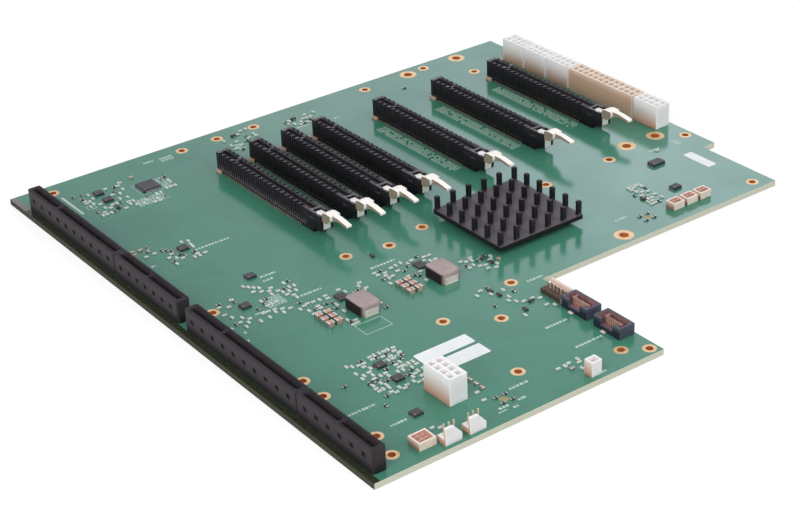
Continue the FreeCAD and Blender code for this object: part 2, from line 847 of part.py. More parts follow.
def wafer_box(label, x, y, width, length, height, columns, rows):
    body = new_body(label, x, y, size.board_thickness)
    wall = size.wafer_wall
    plan = new_sketch(body, f"{label}_plan", "XY_Plane")
    rectangle(plan, -width / 2, width / 2, -length / 2, length / 2)
    pad(body, f"{label}_block", plan, height)
    inside = new_sketch(body, f"{label}_inside_plan", "XY_Plane", height)
    rectangle(inside, wall - width / 2, width / 2 - wall, wall - length / 2, length / 2 - wall)
    pocket(body, f"{label}_inside", inside, height - size.wafer_floor)
    pin_z = size.board_thickness + size.wafer_floor
    return signal_pins(label, x, y, pin_z, columns, rows, size.wafer_pin_rise)


def small_headers():
    pins = fan_header("fan_header_1", *place_of("fan_1"))
    pins += fan_header("fan_header_2", *place_of("fan_2"))
    wafer_size = (size.wafer_width, size.wafer_length, size.wafer_height)
    pins += wafer_box("wafer_header", *place_of("wafer"), *wafer_size, 2, 2)
    small_size = (size.small_width, size.small_length, size.small_height)
    pins += wafer_box("small_header", *place_of("small"), *small_size, 1, 1)
    side_size = (size.side_width, size.side_length, size.side_height)
    for number in (1, 2, 3):
        name = f"side_{number}"
        pins += wafer_box(f"side_header_{number}", *place_of(name), *side_size, 2, 1)
    pins += notch_header("notch_header", *place_of("notch_header"))
    group("signal_header_pins", pins)


# Shrouded data connectors
def sata_connector(label, x, y):
    body = new_body(label, x, y, size.board_thickness)
    half_width = size.sata_width / 2
    half_length = size.sata_length / 2
    wall = size.sata_wall
    plan = new_sketch(body, f"{label}_plan", "XY_Plane")
    rectangle(plan, -half_width, half_width, -half_length, half_length)
    pad(body, f"{label}_shroud", plan, size.sata_height)
    inside = new_sketch(body, f"{label}_inside_plan", "XY_Plane", size.sata_height)
    rectangle(inside, wall - half_width, half_width - wall, wall - half_length, half_length - wall)
    pocket(body, f"{label}_inside", inside, size.sata_height - size.sata_floor)
    window = new_sketch(body, f"{label}_window_outline", "YZ_Plane", -half_width)
    half_window = size.sata_window_length / 2
    window_low = size.sata_height - size.sata_window_depth
    rectangle(window, -half_window, half_window, window_low, size.sata_height)
    pocket(body, f"{label}_window", window, wall, reverse=True)
    tongue = new_sketch(body, f"{label}_tongue_plan", "XY_Plane", size.sata_floor)
    half_tongue = size.sata_tongue_length / 2
    thick = size.sata_tongue_width
    key_x = size.sata_key_width + thick / 2
    polygon(tongue, [
        (-thick / 2, -half_tongue),
        (thick / 2, -half_tongue),
        (thick / 2, half_tongue - thick),
        (key_x, half_tongue - thick),
        (key_x, half_tongue),
        (-thick / 2, half_tongue),
    ])
    rise = size.sata_height - size.sata_floor - size.sata_tongue_inset
    pad(body, f"{label}_tongue", tongue, rise)


# Power stage and chips
def inductor(label, x, y):
    body = new_body(label, x, y, size.board_thickness)
    half_width = size.inductor_width / 2
    half_length = size.inductor_length / 2
    height = size.inductor_height
    plan = new_sketch(body, f"{label}_plan", "XY_Plane")
    rectangle(plan, -half_width, half_width, -half_length, half_length)
    block = pad(body, f"{label}_block", plan, height)
    corners = bevel_edges(body, f"{label}_corners", block, is_upright, size.inductor_corner)

    def is_top(edge):
        return all(abs(vertex.Z - height.value) < 1e-6 for vertex in edge.Vertexes)

    bevel_edges(body, f"{label}_crown", corners, is_top, size.inductor_crown)


def capacitor_bank(label, x, y):
    solids = []
    pitch = size.capacitor_pitch
    for column in range(bank_columns):
        for row in range(bank_rows):
            solids.append(centred_box(
                f"{label}_{column}_{row}",
                x + pitch * (column - (bank_columns - 1) / 2),
                y + pitch * (row - (bank_rows - 1) / 2),
                size.board_thickness,
                size.capacitor_length, size.capacitor_width, size.capacitor_height,
            ))
    group(label, solids)


def chips():
    z = size.board_thickness
    control_size = (size.control_chip_width, size.control_chip_width, size.control_chip_height)
    sub_parts.append(centred_box("control_chip", *place_of("control"), z, *control_size))
    logic_size = (size.logic_chip_width, size.logic_chip_length, size.logic_chip_height)
    for number in range(1, logic_chips + 1):
        place = place_of(f"logic_{number}")
        sub_parts.append(centred_box(f"logic_chip_{number}", *place, z, *logic_size))
    outline_size = (size.outline_chip_width, size.outline_chip_length, size.outline_chip_height)
    sub_parts.append(centred_box("outline_chip_1", *place_of("outline_1"), z, *outline_size))
    short_size = (size.short_chip_width, size.short_chip_length, size.short_chip_height)
    sub_parts.append(centred_box("outline_chip_2", *place_of("outline_2"), z, *short_size))


def write_steps():
    # Nothing is written unless every feature built and every cut removed material
    document.recompute()
    for feature in document.Objects:
        if "Invalid" in feature.State or "Error" in feature.State:
            raise RuntimeError(f"{feature.Label} failed: {feature.State}")
        if feature.TypeId == "PartDesign::Pocket":
            if feature.Shape.Volume >= feature.BaseFeature.Shape.Volume:
                raise RuntimeError(f"{feature.Label} cuts nothing")
    for piece in sub_parts:
        if piece.Shape.isNull() or not piece.Shape.isValid():
            raise RuntimeError(f"{piece.Label} has no valid shape")
    os.makedirs("parts", exist_ok=True)
    for piece in sub_parts:
        piece.Shape.exportStep(f"parts/{piece.Label}.step")


circuit_board()
slots_and_latches()
host_row()
switch()
power_headers()
small_headers()
sata_connector("sata_connector_1", *place_of("sata_1"))
sata_connector("sata_connector_2", *place_of("sata_2"))
inductor("inductor_1", *place_of("inductor_1"))
inductor("inductor_2", *place_of("inductor_2"))
capacitor_bank("capacitor_bank_1", *place_of("capacitors_1"))
capacitor_bank("capacitor_bank_2", *place_of("capacitors_2"))
chips()
write_steps()
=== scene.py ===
import math
import random

import bmesh
import bpy
from mathutils import Matrix, Vector


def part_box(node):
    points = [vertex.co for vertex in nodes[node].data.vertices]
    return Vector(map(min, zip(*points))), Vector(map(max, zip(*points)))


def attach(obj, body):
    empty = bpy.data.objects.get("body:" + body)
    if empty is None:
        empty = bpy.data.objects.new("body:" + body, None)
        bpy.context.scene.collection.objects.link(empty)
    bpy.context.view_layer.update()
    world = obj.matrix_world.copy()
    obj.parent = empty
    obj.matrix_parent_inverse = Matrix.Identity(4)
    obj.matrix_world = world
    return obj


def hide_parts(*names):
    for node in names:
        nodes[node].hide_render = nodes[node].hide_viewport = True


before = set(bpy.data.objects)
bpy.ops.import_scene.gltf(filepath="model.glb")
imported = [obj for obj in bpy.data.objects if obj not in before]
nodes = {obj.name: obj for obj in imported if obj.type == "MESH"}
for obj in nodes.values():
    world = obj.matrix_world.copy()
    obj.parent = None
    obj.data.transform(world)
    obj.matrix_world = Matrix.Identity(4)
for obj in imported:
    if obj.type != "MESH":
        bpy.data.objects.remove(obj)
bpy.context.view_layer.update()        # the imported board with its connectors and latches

mm = 0.001
mergeGap = 0.002        # points closer than this, in millimetres, become one
flatAngle, smoothAngle = 1, 20        # degrees: faces made whole, and faces that shade as one
squareOn = 0.9        # a normal this far along an axis counts as pointing that way
mainBody = "backplane"
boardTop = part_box("circuit_board")[1].z / mm
slotCount = 7


# small helpers for the edit-mode work, all in millimetres

def deselectAll():
    bpy.ops.object.select_all(action="DESELECT")


def makeActive(piece):
    deselectAll()
    piece.select_set(True)
    bpy.context.view_layer.objects.active = piece


def editOn(piece):
    makeActive(piece)
    bpy.ops.object.mode_set(mode="EDIT")


def editOff():
    bpy.ops.object.mode_set(mode="OBJECT")


def rename(piece, name):
    piece.name = name
    piece.data.name = name
    return piece


def addBlock(name, low, high):        # a cube at its size and place
    deselectAll()
    middle = [(a + b) / 2 * mm for a, b in zip(low, high)]
    span = [(b - a) * mm for a, b in zip(low, high)]
    bpy.ops.mesh.primitive_cube_add(size=1, location=middle, scale=span)
    bpy.ops.object.transform_apply(location=True, rotation=True, scale=True)
    return rename(bpy.context.object, name)


def pickFaces(piece, test):        # test gets a face's middle and its normal
    bpy.ops.mesh.select_mode(type="FACE")
    bpy.ops.mesh.select_all(action="DESELECT")
    shell = bmesh.from_edit_mesh(piece.data)
    for face in shell.faces:
        face.select_set(bool(test(face.calc_center_median() / mm, face.normal)))
    shell.select_flush_mode()
    bmesh.update_edit_mesh(piece.data)


def extrudeBy(x, y, z):
    bpy.ops.mesh.extrude_region_move(TRANSFORM_OT_translate={"value": (x * mm, y * mm, z * mm)})


def roundCorners(piece, width, steps):        # bevels only the edges that run straight up
    editOn(piece)
    bpy.ops.mesh.select_mode(type="EDGE")
    bpy.ops.mesh.select_all(action="DESELECT")
    shell = bmesh.from_edit_mesh(piece.data)
    for edge in shell.edges:
        edge.select_set(abs(edge.verts[0].co.z - edge.verts[1].co.z) > mergeGap * mm)
    shell.select_flush_mode()
    bmesh.update_edit_mesh(piece.data)
    bpy.ops.mesh.bevel(offset=width * mm, segments=steps, affect="EDGES")
    editOff()


def applyModifier(piece, kind, **settings):
    makeActive(piece)
    modifier = piece.modifiers.new(kind.lower(), kind)
    for key, value in settings.items():
        setattr(modifier, key, value)
    bpy.ops.object.modifier_apply(modifier=modifier.name)


def repeatAlong(piece, count, step):        # copies in a row, a fixed step apart
    applyModifier(
        piece, "ARRAY", count=count, use_relative_offset=False, use_constant_offset=True,
        constant_offset_displace=[part * mm for part in step],
    )
    return piece


def copyPiece(piece, name, shift=(0, 0, 0), turn=0):        # turned about the upright through 0, then moved
    twin = piece.copy()
    twin.data = piece.data.copy()
    bpy.context.collection.objects.link(twin)
    rename(twin, name)
    turned = Matrix.Rotation(math.radians(turn), 4, "Z")
    twin.data.transform(Matrix.Translation(Vector(shift) * mm) @ turned)
    return twin


def joinPieces(name, parts):
    deselectAll()
    for part in parts:
        part.select_set(True)
    bpy.context.view_layer.objects.active = parts[0]
    if len(parts) > 1:
        bpy.ops.object.join()
    return rename(bpy.context.object, name)


def removePiece(piece):
    mesh = piece.data
    bpy.data.objects.remove(piece)
    bpy.data.meshes.remove(mesh)


def copyNode(node, name, whole=True):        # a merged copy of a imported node, flat faces whole or in quads
    twin = nodes[node].copy()
    twin.data = nodes[node].data.copy()
    twin.parent = None
    for key in list(twin.keys()):
        if key.startswith("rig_"):
            del twin[key]
    bpy.context.collection.objects.link(twin)
    rename(twin, name)
    editOn(twin)
    bpy.ops.mesh.select_all(action="SELECT")
    bpy.ops.mesh.remove_doubles(threshold=mergeGap * mm)
    if whole:
        bpy.ops.mesh.dissolve_limited(angle_limit=math.radians(flatAngle))
    else:
        bpy.ops.mesh.tris_convert_to_quads()
    editOff()
    return twin


def roundEdges(piece, width, steps=2, angle=30):
    applyModifier(
        piece, "BEVEL", width=width * mm, segments=steps, limit_method="ANGLE",
        angle_limit=math.radians(angle), use_clamp_overlap=True,
    )
    editOn(piece)
    bpy.ops.mesh.select_all(action="SELECT")
    bpy.ops.mesh.dissolve_degenerate(threshold=mergeGap * mm)
    editOff()
    return piece


def paint(piece, *materials):
    piece.data.materials.clear()
    for material in materials:
        piece.data.materials.append(material)


def paintFaces(piece, index, test):        # gives the picked faces another of the piece's finishes
    editOn(piece)
    pickFaces(piece, test)
    piece.active_material_index = index
    bpy.ops.object.material_slot_assign()
    editOff()


def edgesOf(node):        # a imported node's box in millimetres
    low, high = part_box(node)
    return low / mm, high / mm


def scatter(source, name, places):        # copies of one part on the board, joined: x, y and turn of each
    copies = []
    for index, (x, y, turn) in enumerate(places):
        copies.append(copyPiece(source, f"{name}_{index}", (x, y, boardTop), turn))
    removePiece(source)
    return joinPieces(name, copies)


def finishPiece(piece, body=mainBody, stands=()):
    makeActive(piece)
    bpy.ops.object.shade_smooth_by_angle(angle=math.radians(smoothAngle))
    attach(piece, body)
    if stands:
        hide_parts(*stands)
    return piece


# node helpers

def addNode(tree, kind, values=None, **settings):
    node = tree.nodes.new(kind)
    for key, value in settings.items():
        setattr(node, key, value)
    for key, value in (values or {}).items():
        if isinstance(value, bpy.types.NodeSocket):
            tree.links.new(value, node.inputs[key])
        else:
            node.inputs[key].default_value = value
    return node


def mixColor(tree, factor, first, second, blend="MIX"):
    node = addNode(
        tree, "ShaderNodeMix", {0: factor, 6: first, 7: second}, data_type="RGBA", blend_type=blend,
    )
    return node.outputs[2]


def mathNode(tree, operation, first, second=0.0, clamp=False):
    node = addNode(tree, "ShaderNodeMath", {0: first, 1: second}, operation=operation, use_clamp=clamp)
    return node.outputs[0]


def mixValue(tree, factor, first, second):
    return addNode(tree, "ShaderNodeMix", {0: factor, 2: first, 3: second}, data_type="FLOAT").outputs[0]


def remap(tree, value, fromLow, fromHigh, toLow=0.0, toHigh=1.0):
    node = addNode(tree, "ShaderNodeMapRange", {
        "Value": value, "From Min": fromLow, "From Max": fromHigh, "To Min": toLow, "To Max": toHigh,
    })
    return node.outputs["Result"]


def objectPlace(tree):
    return addNode(tree, "ShaderNodeTexCoord").outputs["Object"]


def axesOf(tree, vector):        # its X, Y and Z
    return addNode(tree, "ShaderNodeSeparateXYZ", {0: vector}).outputs


def facing(tree):        # which way the surface looks
    return axesOf(tree, addNode(tree, "ShaderNodeNewGeometry").outputs["Normal"])


def noise(tree, place, scale, detail):
    values = {"Vector": place, "Scale": scale, "Detail": detail}
    return addNode(tree, "ShaderNodeTexNoise", values).outputs["Fac"]


def addBump(tree, shader, height, strength, depth):
    bump = addNode(tree, "ShaderNodeBump", {"Strength": strength, "Distance": depth * mm, "Height": height})
    tree.links.new(bump.outputs["Normal"], shader.inputs["Normal"])


def newGroup(name, inputs, outputs):
    tree = bpy.data.node_groups.new(name, "ShaderNodeTree")
    for label, kind in inputs:
        tree.interface.new_socket(name=label, in_out="INPUT", socket_type=kind)
    for label, kind in outputs:
        tree.interface.new_socket(name=label, in_out="OUTPUT", socket_type=kind)
    return tree, tree.nodes.new("NodeGroupInput"), tree.nodes.new("NodeGroupOutput")


def useGroup(tree, group, values):
    node = tree.nodes.new("ShaderNodeGroup")
    node.node_tree = group
    for key, value in values.items():
        node.inputs[key].default_value = value
    return node


def newMaterial(name):
    material = bpy.data.materials.new(name)
    material.use_nodes = True
    tree = material.node_tree
    tree.nodes.clear()
    shader = tree.nodes.new("ShaderNodeBsdfPrincipled")
    out = tree.nodes.new("ShaderNodeOutputMaterial")
    tree.links.new(shader.outputs["BSDF"], out.inputs["Surface"])
    return material, tree, shader


def tint(red, green, blue):        # a screen colour from 0 to 255, as a shader colour
    def straight(part):
        part = part / 255
        return part / 12.92 if part <= 0.04045 else ((part + 0.055) / 1.055) ** 2.4
    return (straight(red), straight(green), straight(blue), 1.0)


# shared effects

colorKind = "NodeSocketColor"
floatKind = "NodeSocketFloat"


grainLook = {"cloudDetail": 5.0, "cloudSpan": (0.35, 0.65), "grainDetail": 3.0, "glossSpan": (0.3, 0.7)}
wearLook = {"samples": 4, "edgeSpan": (0.97, 0.80), "scale": 900.0, "detail": 4.0, "patchSpan": (0.42, 0.62)}
dustLook = {"upSpan": (0.5, 0.95), "detail": 8.0, "patchSpan": (0.40, 0.70)}


def makeMouldedGrain():        # cloudy colour, fine pitting and uneven gloss of moulded plastic
    look = grainLook
    tree, start, end = newGroup(
        "mouldedGrain",
        [("Main Color", colorKind), ("Second Color", colorKind), ("Cloud Scale", floatKind),
         ("Grain Scale", floatKind), ("Rough Low", floatKind), ("Rough High", floatKind)],
        [("Color", colorKind), ("Roughness", floatKind), ("Height", floatKind)],
    )
    given = start.outputs
    place = objectPlace(tree)
    cloud = noise(tree, place, given["Cloud Scale"], look["cloudDetail"])
    grain = noise(tree, place, given["Grain Scale"], look["grainDetail"])
    share = remap(tree, cloud, *look["cloudSpan"])
    color = mixColor(tree, share, given["Main Color"], given["Second Color"])
    rough = remap(tree, grain, *look["glossSpan"], given["Rough Low"], given["Rough High"])
    tree.links.new(color, end.inputs["Color"])
    tree.links.new(rough, end.inputs["Roughness"])
    tree.links.new(grain, end.inputs["Height"])
    return tree


def makeEdgeWear():        # a broken line along sharp edges
    look = wearLook
    tree, start, end = newGroup(
        "edgeWear", [("Radius", floatKind), ("Amount", floatKind)], [("Mask", floatKind)],
    )
    soft = addNode(tree, "ShaderNodeBevel", {"Radius": start.outputs["Radius"]}, samples=look["samples"])
    flat = addNode(tree, "ShaderNodeNewGeometry")
    both = {0: soft.outputs["Normal"], 1: flat.outputs["Normal"]}
    same = addNode(tree, "ShaderNodeVectorMath", both, operation="DOT_PRODUCT")
    edge = remap(tree, same.outputs["Value"], *look["edgeSpan"])
    patchy = remap(tree, noise(tree, objectPlace(tree), look["scale"], look["detail"]), *look["patchSpan"])
    broken = mathNode(tree, "MULTIPLY", edge, patchy)
    mask = mathNode(tree, "MULTIPLY", broken, start.outputs["Amount"], clamp=True)
    tree.links.new(mask, end.inputs["Mask"])
    return tree


def makeSettledDust():        # a thin uneven film on faces that look up
    look = dustLook
    tree, start, end = newGroup(
        "settledDust", [("Amount", floatKind), ("Scale", floatKind)], [("Mask", floatKind)],
    )
    upward = remap(tree, facing(tree)["Z"], *look["upSpan"])
    specks = noise(tree, objectPlace(tree), start.outputs["Scale"], look["detail"])
    film = mathNode(tree, "MULTIPLY", upward, remap(tree, specks, *look["patchSpan"]))
    mask = mathNode(tree, "MULTIPLY", film, start.outputs["Amount"], clamp=True)
    tree.links.new(mask, end.inputs["Mask"])
    return tree


mouldedGrain = makeMouldedGrain()
edgeWear = makeEdgeWear()
settledDust = makeSettledDust()


def layGrain(tree, shader, look):        # gloss and pitting go to the shader, the clouded colour comes back
    grain = useGroup(tree, mouldedGrain, {
        "Main Color": look["main"], "Second Color": look["second"], "Cloud Scale": look["cloud"],
        "Grain Scale": look["grain"], "Rough Low": look["rough"][0], "Rough High": look["rough"][1],
    })
    tree.links.new(grain.outputs["Roughness"], shader.inputs["Roughness"])
    addBump(tree, shader, grain.outputs["Height"], *look["pit"])
    return grain.outputs["Color"]


def wearEdges(tree, color, look):
    wear = useGroup(tree, edgeWear, {"Radius": look["wearRadius"] * mm, "Amount": look["wear"]})
    return mixColor(tree, wear.outputs["Mask"], color, look["worn"])


def layDust(tree, color, look):
    dust = useGroup(tree, settledDust, {"Amount": look["dust"], "Scale": look["dustScale"]})
    return mixColor(tree, dust.outputs["Mask"], color, look["dusty"])


# moulded plastics, cast epoxy and other grained finishes

mouldedLook = {        # what all of them share; pit is the strength and depth of the fine bumps
    "wearRadius": 0.25, "dustScale": 420, "pit": (0.25, 0.03), "specular": 0.5,
    "paintedTopLightSpan": (0.5, 0.9), "sideSpan": (-0.25, -0.85), "glowRadius": (1.0, 0.9, 0.8), "glowDepth": 2.5,
}
# the top entry paints a highlight on upper faces, as painted light; the side entries paint faces towards the
# left edge, coming in between two heights: painted light on the black slot and host plastics, painted shade
# on the others
mouldedFinishes = {
    "slotPlastic": {
        "main": tint(19, 18, 21), "second": tint(28, 26, 29), "cloud": 60, "grain": 2600,
        "rough": (0.4, 0.56), "worn": tint(120, 118, 122), "wear": 0.45,
        "dusty": tint(150, 148, 152), "dust": 0.5,
        "paintedSideShading": tint(40, 38, 44), "paintedSideShadingSpan": (9.0, 12.5), "paintedTopLight": tint(84, 82, 87), "specular": 0.18,
    },
    "hostPlastic": {
        "main": tint(24, 23, 26), "second": tint(32, 30, 33), "cloud": 50, "grain": 2400,
        "rough": (0.45, 0.62), "worn": tint(84, 80, 84), "wear": 0.5,
        "dusty": tint(64, 66, 68), "dust": 0.2,
        "paintedSideShading": tint(52, 46, 51), "paintedSideShadingSpan": (5.6, 8.2), "paintedSideShadingFront": True, "specular": 0.2,
    },
    # painted shade for recesses: rib and notch floors, and the insides of windows
    "paintedHollowShade": {
        "main": tint(14, 13, 15), "second": tint(20, 19, 21), "cloud": 90, "grain": 2400,
        "rough": (0.6, 0.8), "worn": tint(40, 38, 40), "wear": 0.2,
        "dusty": tint(40, 40, 40), "dust": 0.05,
    },
    "latchPlastic": {
        "main": tint(255, 252, 248), "second": tint(248, 243, 236), "cloud": 120, "grain": 1800,
        "rough": (0.34, 0.5), "worn": tint(255, 252, 246), "wear": 0.3,
        "dusty": tint(226, 220, 212), "dust": 0.08,
        "paintedSideShading": tint(150, 134, 118), "paintedSideShadingSpan": (18.5, 17.5),
    },
    "whiteNylon": {
        "main": tint(252, 249, 249), "second": tint(246, 242, 242), "cloud": 90, "grain": 1500,
        "rough": (0.38, 0.55), "worn": tint(252, 251, 250), "wear": 0.35,
        "dusty": tint(222, 218, 214), "dust": 0.08,
        "paintedSideShading": tint(190, 140, 112), "paintedSideShadingSpan": (14.0, 3.2), "glow": 0.75,
    },
    "tanNylon": {
        "main": tint(238, 222, 208), "second": tint(228, 208, 192), "cloud": 80, "grain": 1500,
        "rough": (0.38, 0.55), "worn": tint(240, 230, 220), "wear": 0.4,
        "dusty": tint(222, 212, 202), "dust": 0.1,
        "paintedSideShading": tint(206, 172, 148), "paintedSideShadingSpan": (17.0, 13.0), "glow": 0.6,
    },
    "ivoryNylon": {
        "main": tint(244, 228, 216), "second": tint(232, 212, 198), "cloud": 100, "grain": 1700,
        "rough": (0.36, 0.52), "worn": tint(250, 244, 238), "wear": 0.35,
        "dusty": tint(222, 214, 206), "dust": 0.08,
        "paintedSideShading": tint(150, 112, 88), "paintedSideShadingSpan": (7.4, 4.0), "glow": 0.3,
    },
    # painted shade inside the ivory headers
    "paintedRoseShade": {
        "main": tint(206, 158, 146), "second": tint(190, 140, 128), "cloud": 160, "grain": 1700,
        "rough": (0.4, 0.56), "worn": tint(228, 196, 186), "wear": 0.3,
        "dusty": tint(210, 196, 188), "dust": 0.06,
    },
    "notchNylon": {
        "main": tint(240, 214, 204), "second": tint(226, 198, 186), "cloud": 100, "grain": 1700,
        "rough": (0.36, 0.52), "worn": tint(250, 240, 234), "wear": 0.35,
        "dusty": tint(216, 206, 198), "dust": 0.08,
        "glow": 0.2,
    },
    "lockPlastic": {
        "main": tint(206, 172, 150), "second": tint(188, 152, 130), "cloud": 200, "grain": 2000,
        "rough": (0.4, 0.55), "worn": tint(226, 200, 180), "wear": 0.3,
        "dusty": tint(205, 196, 186), "dust": 0.1,
    },
    "shroudPlastic": {
        "main": tint(66, 72, 86), "second": tint(80, 85, 98), "cloud": 90, "grain": 2200,
        "rough": (0.34, 0.5), "worn": tint(128, 134, 146), "wear": 0.5,
        "dusty": tint(112, 114, 122), "dust": 0.15,
        "paintedSideShading": tint(34, 37, 50), "paintedSideShadingSpan": (8.2, 6.4), "specular": 0.22,
    },
    # painted light inside the data shrouds
    "paintedShroudLight": {
        "main": tint(158, 114, 112), "second": tint(120, 84, 84), "cloud": 140, "grain": 2200,
        "rough": (0.4, 0.56), "worn": tint(178, 148, 146), "wear": 0.4,
        "dusty": tint(160, 146, 144), "dust": 0.1,
    },
    "chipEpoxy": {
        "main": tint(44, 45, 49), "second": tint(56, 56, 60), "cloud": 220, "grain": 5200,
        "rough": (0.42, 0.62), "worn": tint(90, 90, 92), "wear": 0.3,
        "dusty": tint(120, 120, 120), "dust": 0.12,
    },
    "coreFerrite": {
        "main": tint(158, 142, 143), "second": tint(174, 156, 156), "cloud": 160, "grain": 3600,
        "rough": (0.5, 0.72), "worn": tint(206, 196, 194), "wear": 0.4,
        "dusty": tint(192, 184, 182), "dust": 0.12,
        "paintedSideShading": tint(30, 29, 28), "paintedSideShadingSpan": (8.9, 8.2), "specular": 0.2,
    },
    "capCeramic": {
        "main": tint(198, 158, 138), "second": tint(178, 136, 114), "cloud": 400, "grain": 4200,
        "rough": (0.4, 0.6), "worn": tint(222, 196, 180), "wear": 0.3,
        "dusty": tint(208, 198, 190), "dust": 0.1,
    },
    "paleCeramic": {
        "main": tint(206, 208, 200), "second": tint(182, 182, 172), "cloud": 500, "grain": 4200,
        "rough": (0.4, 0.6), "worn": tint(226, 226, 220), "wear": 0.3,
        "dusty": tint(208, 206, 200), "dust": 0.1,
    },
    "resistorCoat": {
        "main": tint(34, 36, 38), "second": tint(48, 48, 50), "cloud": 400, "grain": 4200,
        "rough": (0.3, 0.5), "worn": tint(92, 92, 94), "wear": 0.3,
        "dusty": tint(110, 110, 110), "dust": 0.1,
    },
    "thermalPad": {
        "main": tint(150, 152, 156), "second": tint(136, 138, 144), "cloud": 300, "grain": 2500,
        "rough": (0.6, 0.8), "worn": tint(170, 170, 172), "wear": 0.1,
        "dusty": tint(160, 160, 160), "dust": 0.05,
    },
    "coveredPad": {
        "main": tint(118, 178, 150), "second": tint(98, 160, 132), "cloud": 500, "grain": 3600,
        "rough": (0.25, 0.4), "worn": tint(170, 210, 190), "wear": 0.2,
        "dusty": tint(160, 190, 176), "dust": 0.06,
    },
    # painted shade on the notch header's floor and inner side
    "paintedFloorShade": {
        "main": tint(78, 58, 46), "second": tint(58, 42, 34), "cloud": 260, "grain": 2200,
        "rough": (0.45, 0.62), "worn": tint(120, 96, 80), "wear": 0.3,
        "dusty": tint(120, 106, 96), "dust": 0.1,
    },
    "squareCoat": {
        "main": tint(150, 150, 98), "second": tint(128, 132, 84), "cloud": 500, "grain": 3000,
        "rough": (0.3, 0.5), "worn": tint(190, 180, 130), "wear": 0.3,
        "dusty": tint(160, 162, 130), "dust": 0.1,
    },
    "labelPaper": {
        "main": tint(238, 242, 244), "second": tint(230, 235, 237), "cloud": 150, "grain": 3800,
        "rough": (0.45, 0.62), "worn": tint(220, 222, 222), "wear": 0.4,
        "dusty": tint(220, 222, 220), "dust": 0.06,
    },
    "printedInk": {
        "main": tint(200, 218, 212), "second": tint(176, 200, 192), "cloud": 700, "grain": 4000,
        "rough": (0.4, 0.6), "worn": tint(176, 196, 188), "wear": 0.1,
        "dusty": tint(206, 212, 208), "dust": 0.06,
    },
}


def mouldedFinish(name):
    look = {**mouldedLook, **mouldedFinishes[name]}
    material, tree, shader = newMaterial(name)
    color = layGrain(tree, shader, look)
    # painted highlight on faces that look up
    if "paintedTopLight" in look:
        color = mixColor(tree, remap(tree, facing(tree)["Z"], *look["paintedTopLightSpan"]), color, look["paintedTopLight"])
    # painted light and shade on faces towards the left edge, from one height to another
    if "paintedSideShading" in look:
        side = facing(tree)
        shown = remap(tree, side["X"], *look["sideSpan"])
        if look.get("paintedSideShadingFront"):        # and faces towards the front edge
            shown = mathNode(tree, "MAXIMUM", shown, remap(tree, side["Y"], *look["sideSpan"]))
        low, high = look["paintedSideShadingSpan"]
        shaded = remap(tree, axesOf(tree, objectPlace(tree))["Z"], low * mm, high * mm)
        color = mixColor(tree, mathNode(tree, "MULTIPLY", shown, shaded), color, look["paintedSideShading"])
    color = layDust(tree, wearEdges(tree, color, look), look)
    tree.links.new(color, shader.inputs["Base Color"])
    shader.inputs["Specular IOR Level"].default_value = look["specular"]
    if "glow" in look:        # thin walls let light through
        shader.inputs["Subsurface Weight"].default_value = look["glow"]
        shader.inputs["Subsurface Radius"].default_value = look["glowRadius"]
        shader.inputs["Subsurface Scale"].default_value = look["glowDepth"] * mm
    return material


finishes = {name: mouldedFinish(name) for name in mouldedFinishes}


# metals

metalLook = {        # what all of them share
    "cloud": 260, "grain": 3400, "wearRadius": 0.2, "wear": 0.45, "worn": tint(128, 126, 128),
    "pit": (0.2, 0.02),
}
metalFinishes = {
    "brassPin": {
        "main": tint(214, 182, 120), "second": tint(196, 160, 98), "rough": (0.22, 0.4), "metallic": 1.0,
    },
    "goldPlate": {
        "main": tint(230, 200, 158), "second": tint(212, 178, 132), "rough": (0.35, 0.55), "metallic": 0.5,
    },
    "tinPlate": {
        "main": tint(206, 206, 204), "second": tint(184, 184, 184), "rough": (0.26, 0.45), "metallic": 1.0,
    },
    "copperWall": {
        "main": tint(206, 120, 58), "second": tint(172, 90, 38), "rough": (0.35, 0.55), "metallic": 0.3,
    },
    "solderEnd": {
        "main": tint(216, 226, 220), "second": tint(194, 206, 200), "rough": (0.35, 0.5), "metallic": 0.3,
    },
    "dullTail": {
        "main": tint(132, 122, 100), "second": tint(100, 94, 76), "rough": (0.45, 0.6), "metallic": 0.1,
    },
    "terminalTin": {
        "main": tint(232, 222, 212), "second": tint(214, 202, 192), "rough": (0.4, 0.6), "metallic": 0.3,
    },
    # painted shade: contacts darker than bare metal, for the shade deep in the card gap
    "springAlloyPaintedShade": {
        "main": tint(104, 99, 97), "second": tint(84, 80, 78), "rough": (0.3, 0.5), "metallic": 1.0,
    },
    "plainPin": {
        "main": tint(232, 216, 194), "second": tint(212, 192, 166), "rough": (0.3, 0.5), "metallic": 0.7,
    },
}


def metalFinish(name):
    look = {**metalLook, **metalFinishes[name]}
    material, tree, shader = newMaterial(name)
    color = wearEdges(tree, layGrain(tree, shader, look), look)
    tree.links.new(color, shader.inputs["Base Color"])
    shader.inputs["Metallic"].default_value = look["metallic"]
    return material


finishes.update({name: metalFinish(name) for name in metalFinishes})


# the heat sink: black pin heads, base edges and left sides, with painted light low down between the pins

sinkLook = {
    "main": tint(16, 15, 18), "second": tint(24, 23, 26), "pale": tint(82, 75, 81),
    "worn": tint(104, 100, 104),
    "cloud": 120, "grain": 3200, "rough": (0.4, 0.58), "wearRadius": 0.2, "wear": 0.4, "pit": (0.2, 0.02),
    "headSpan": (10.2, 8.7), "baseTop": 8.2, "sideSpan": (-0.85, -0.25), "specular": 0.25,
}


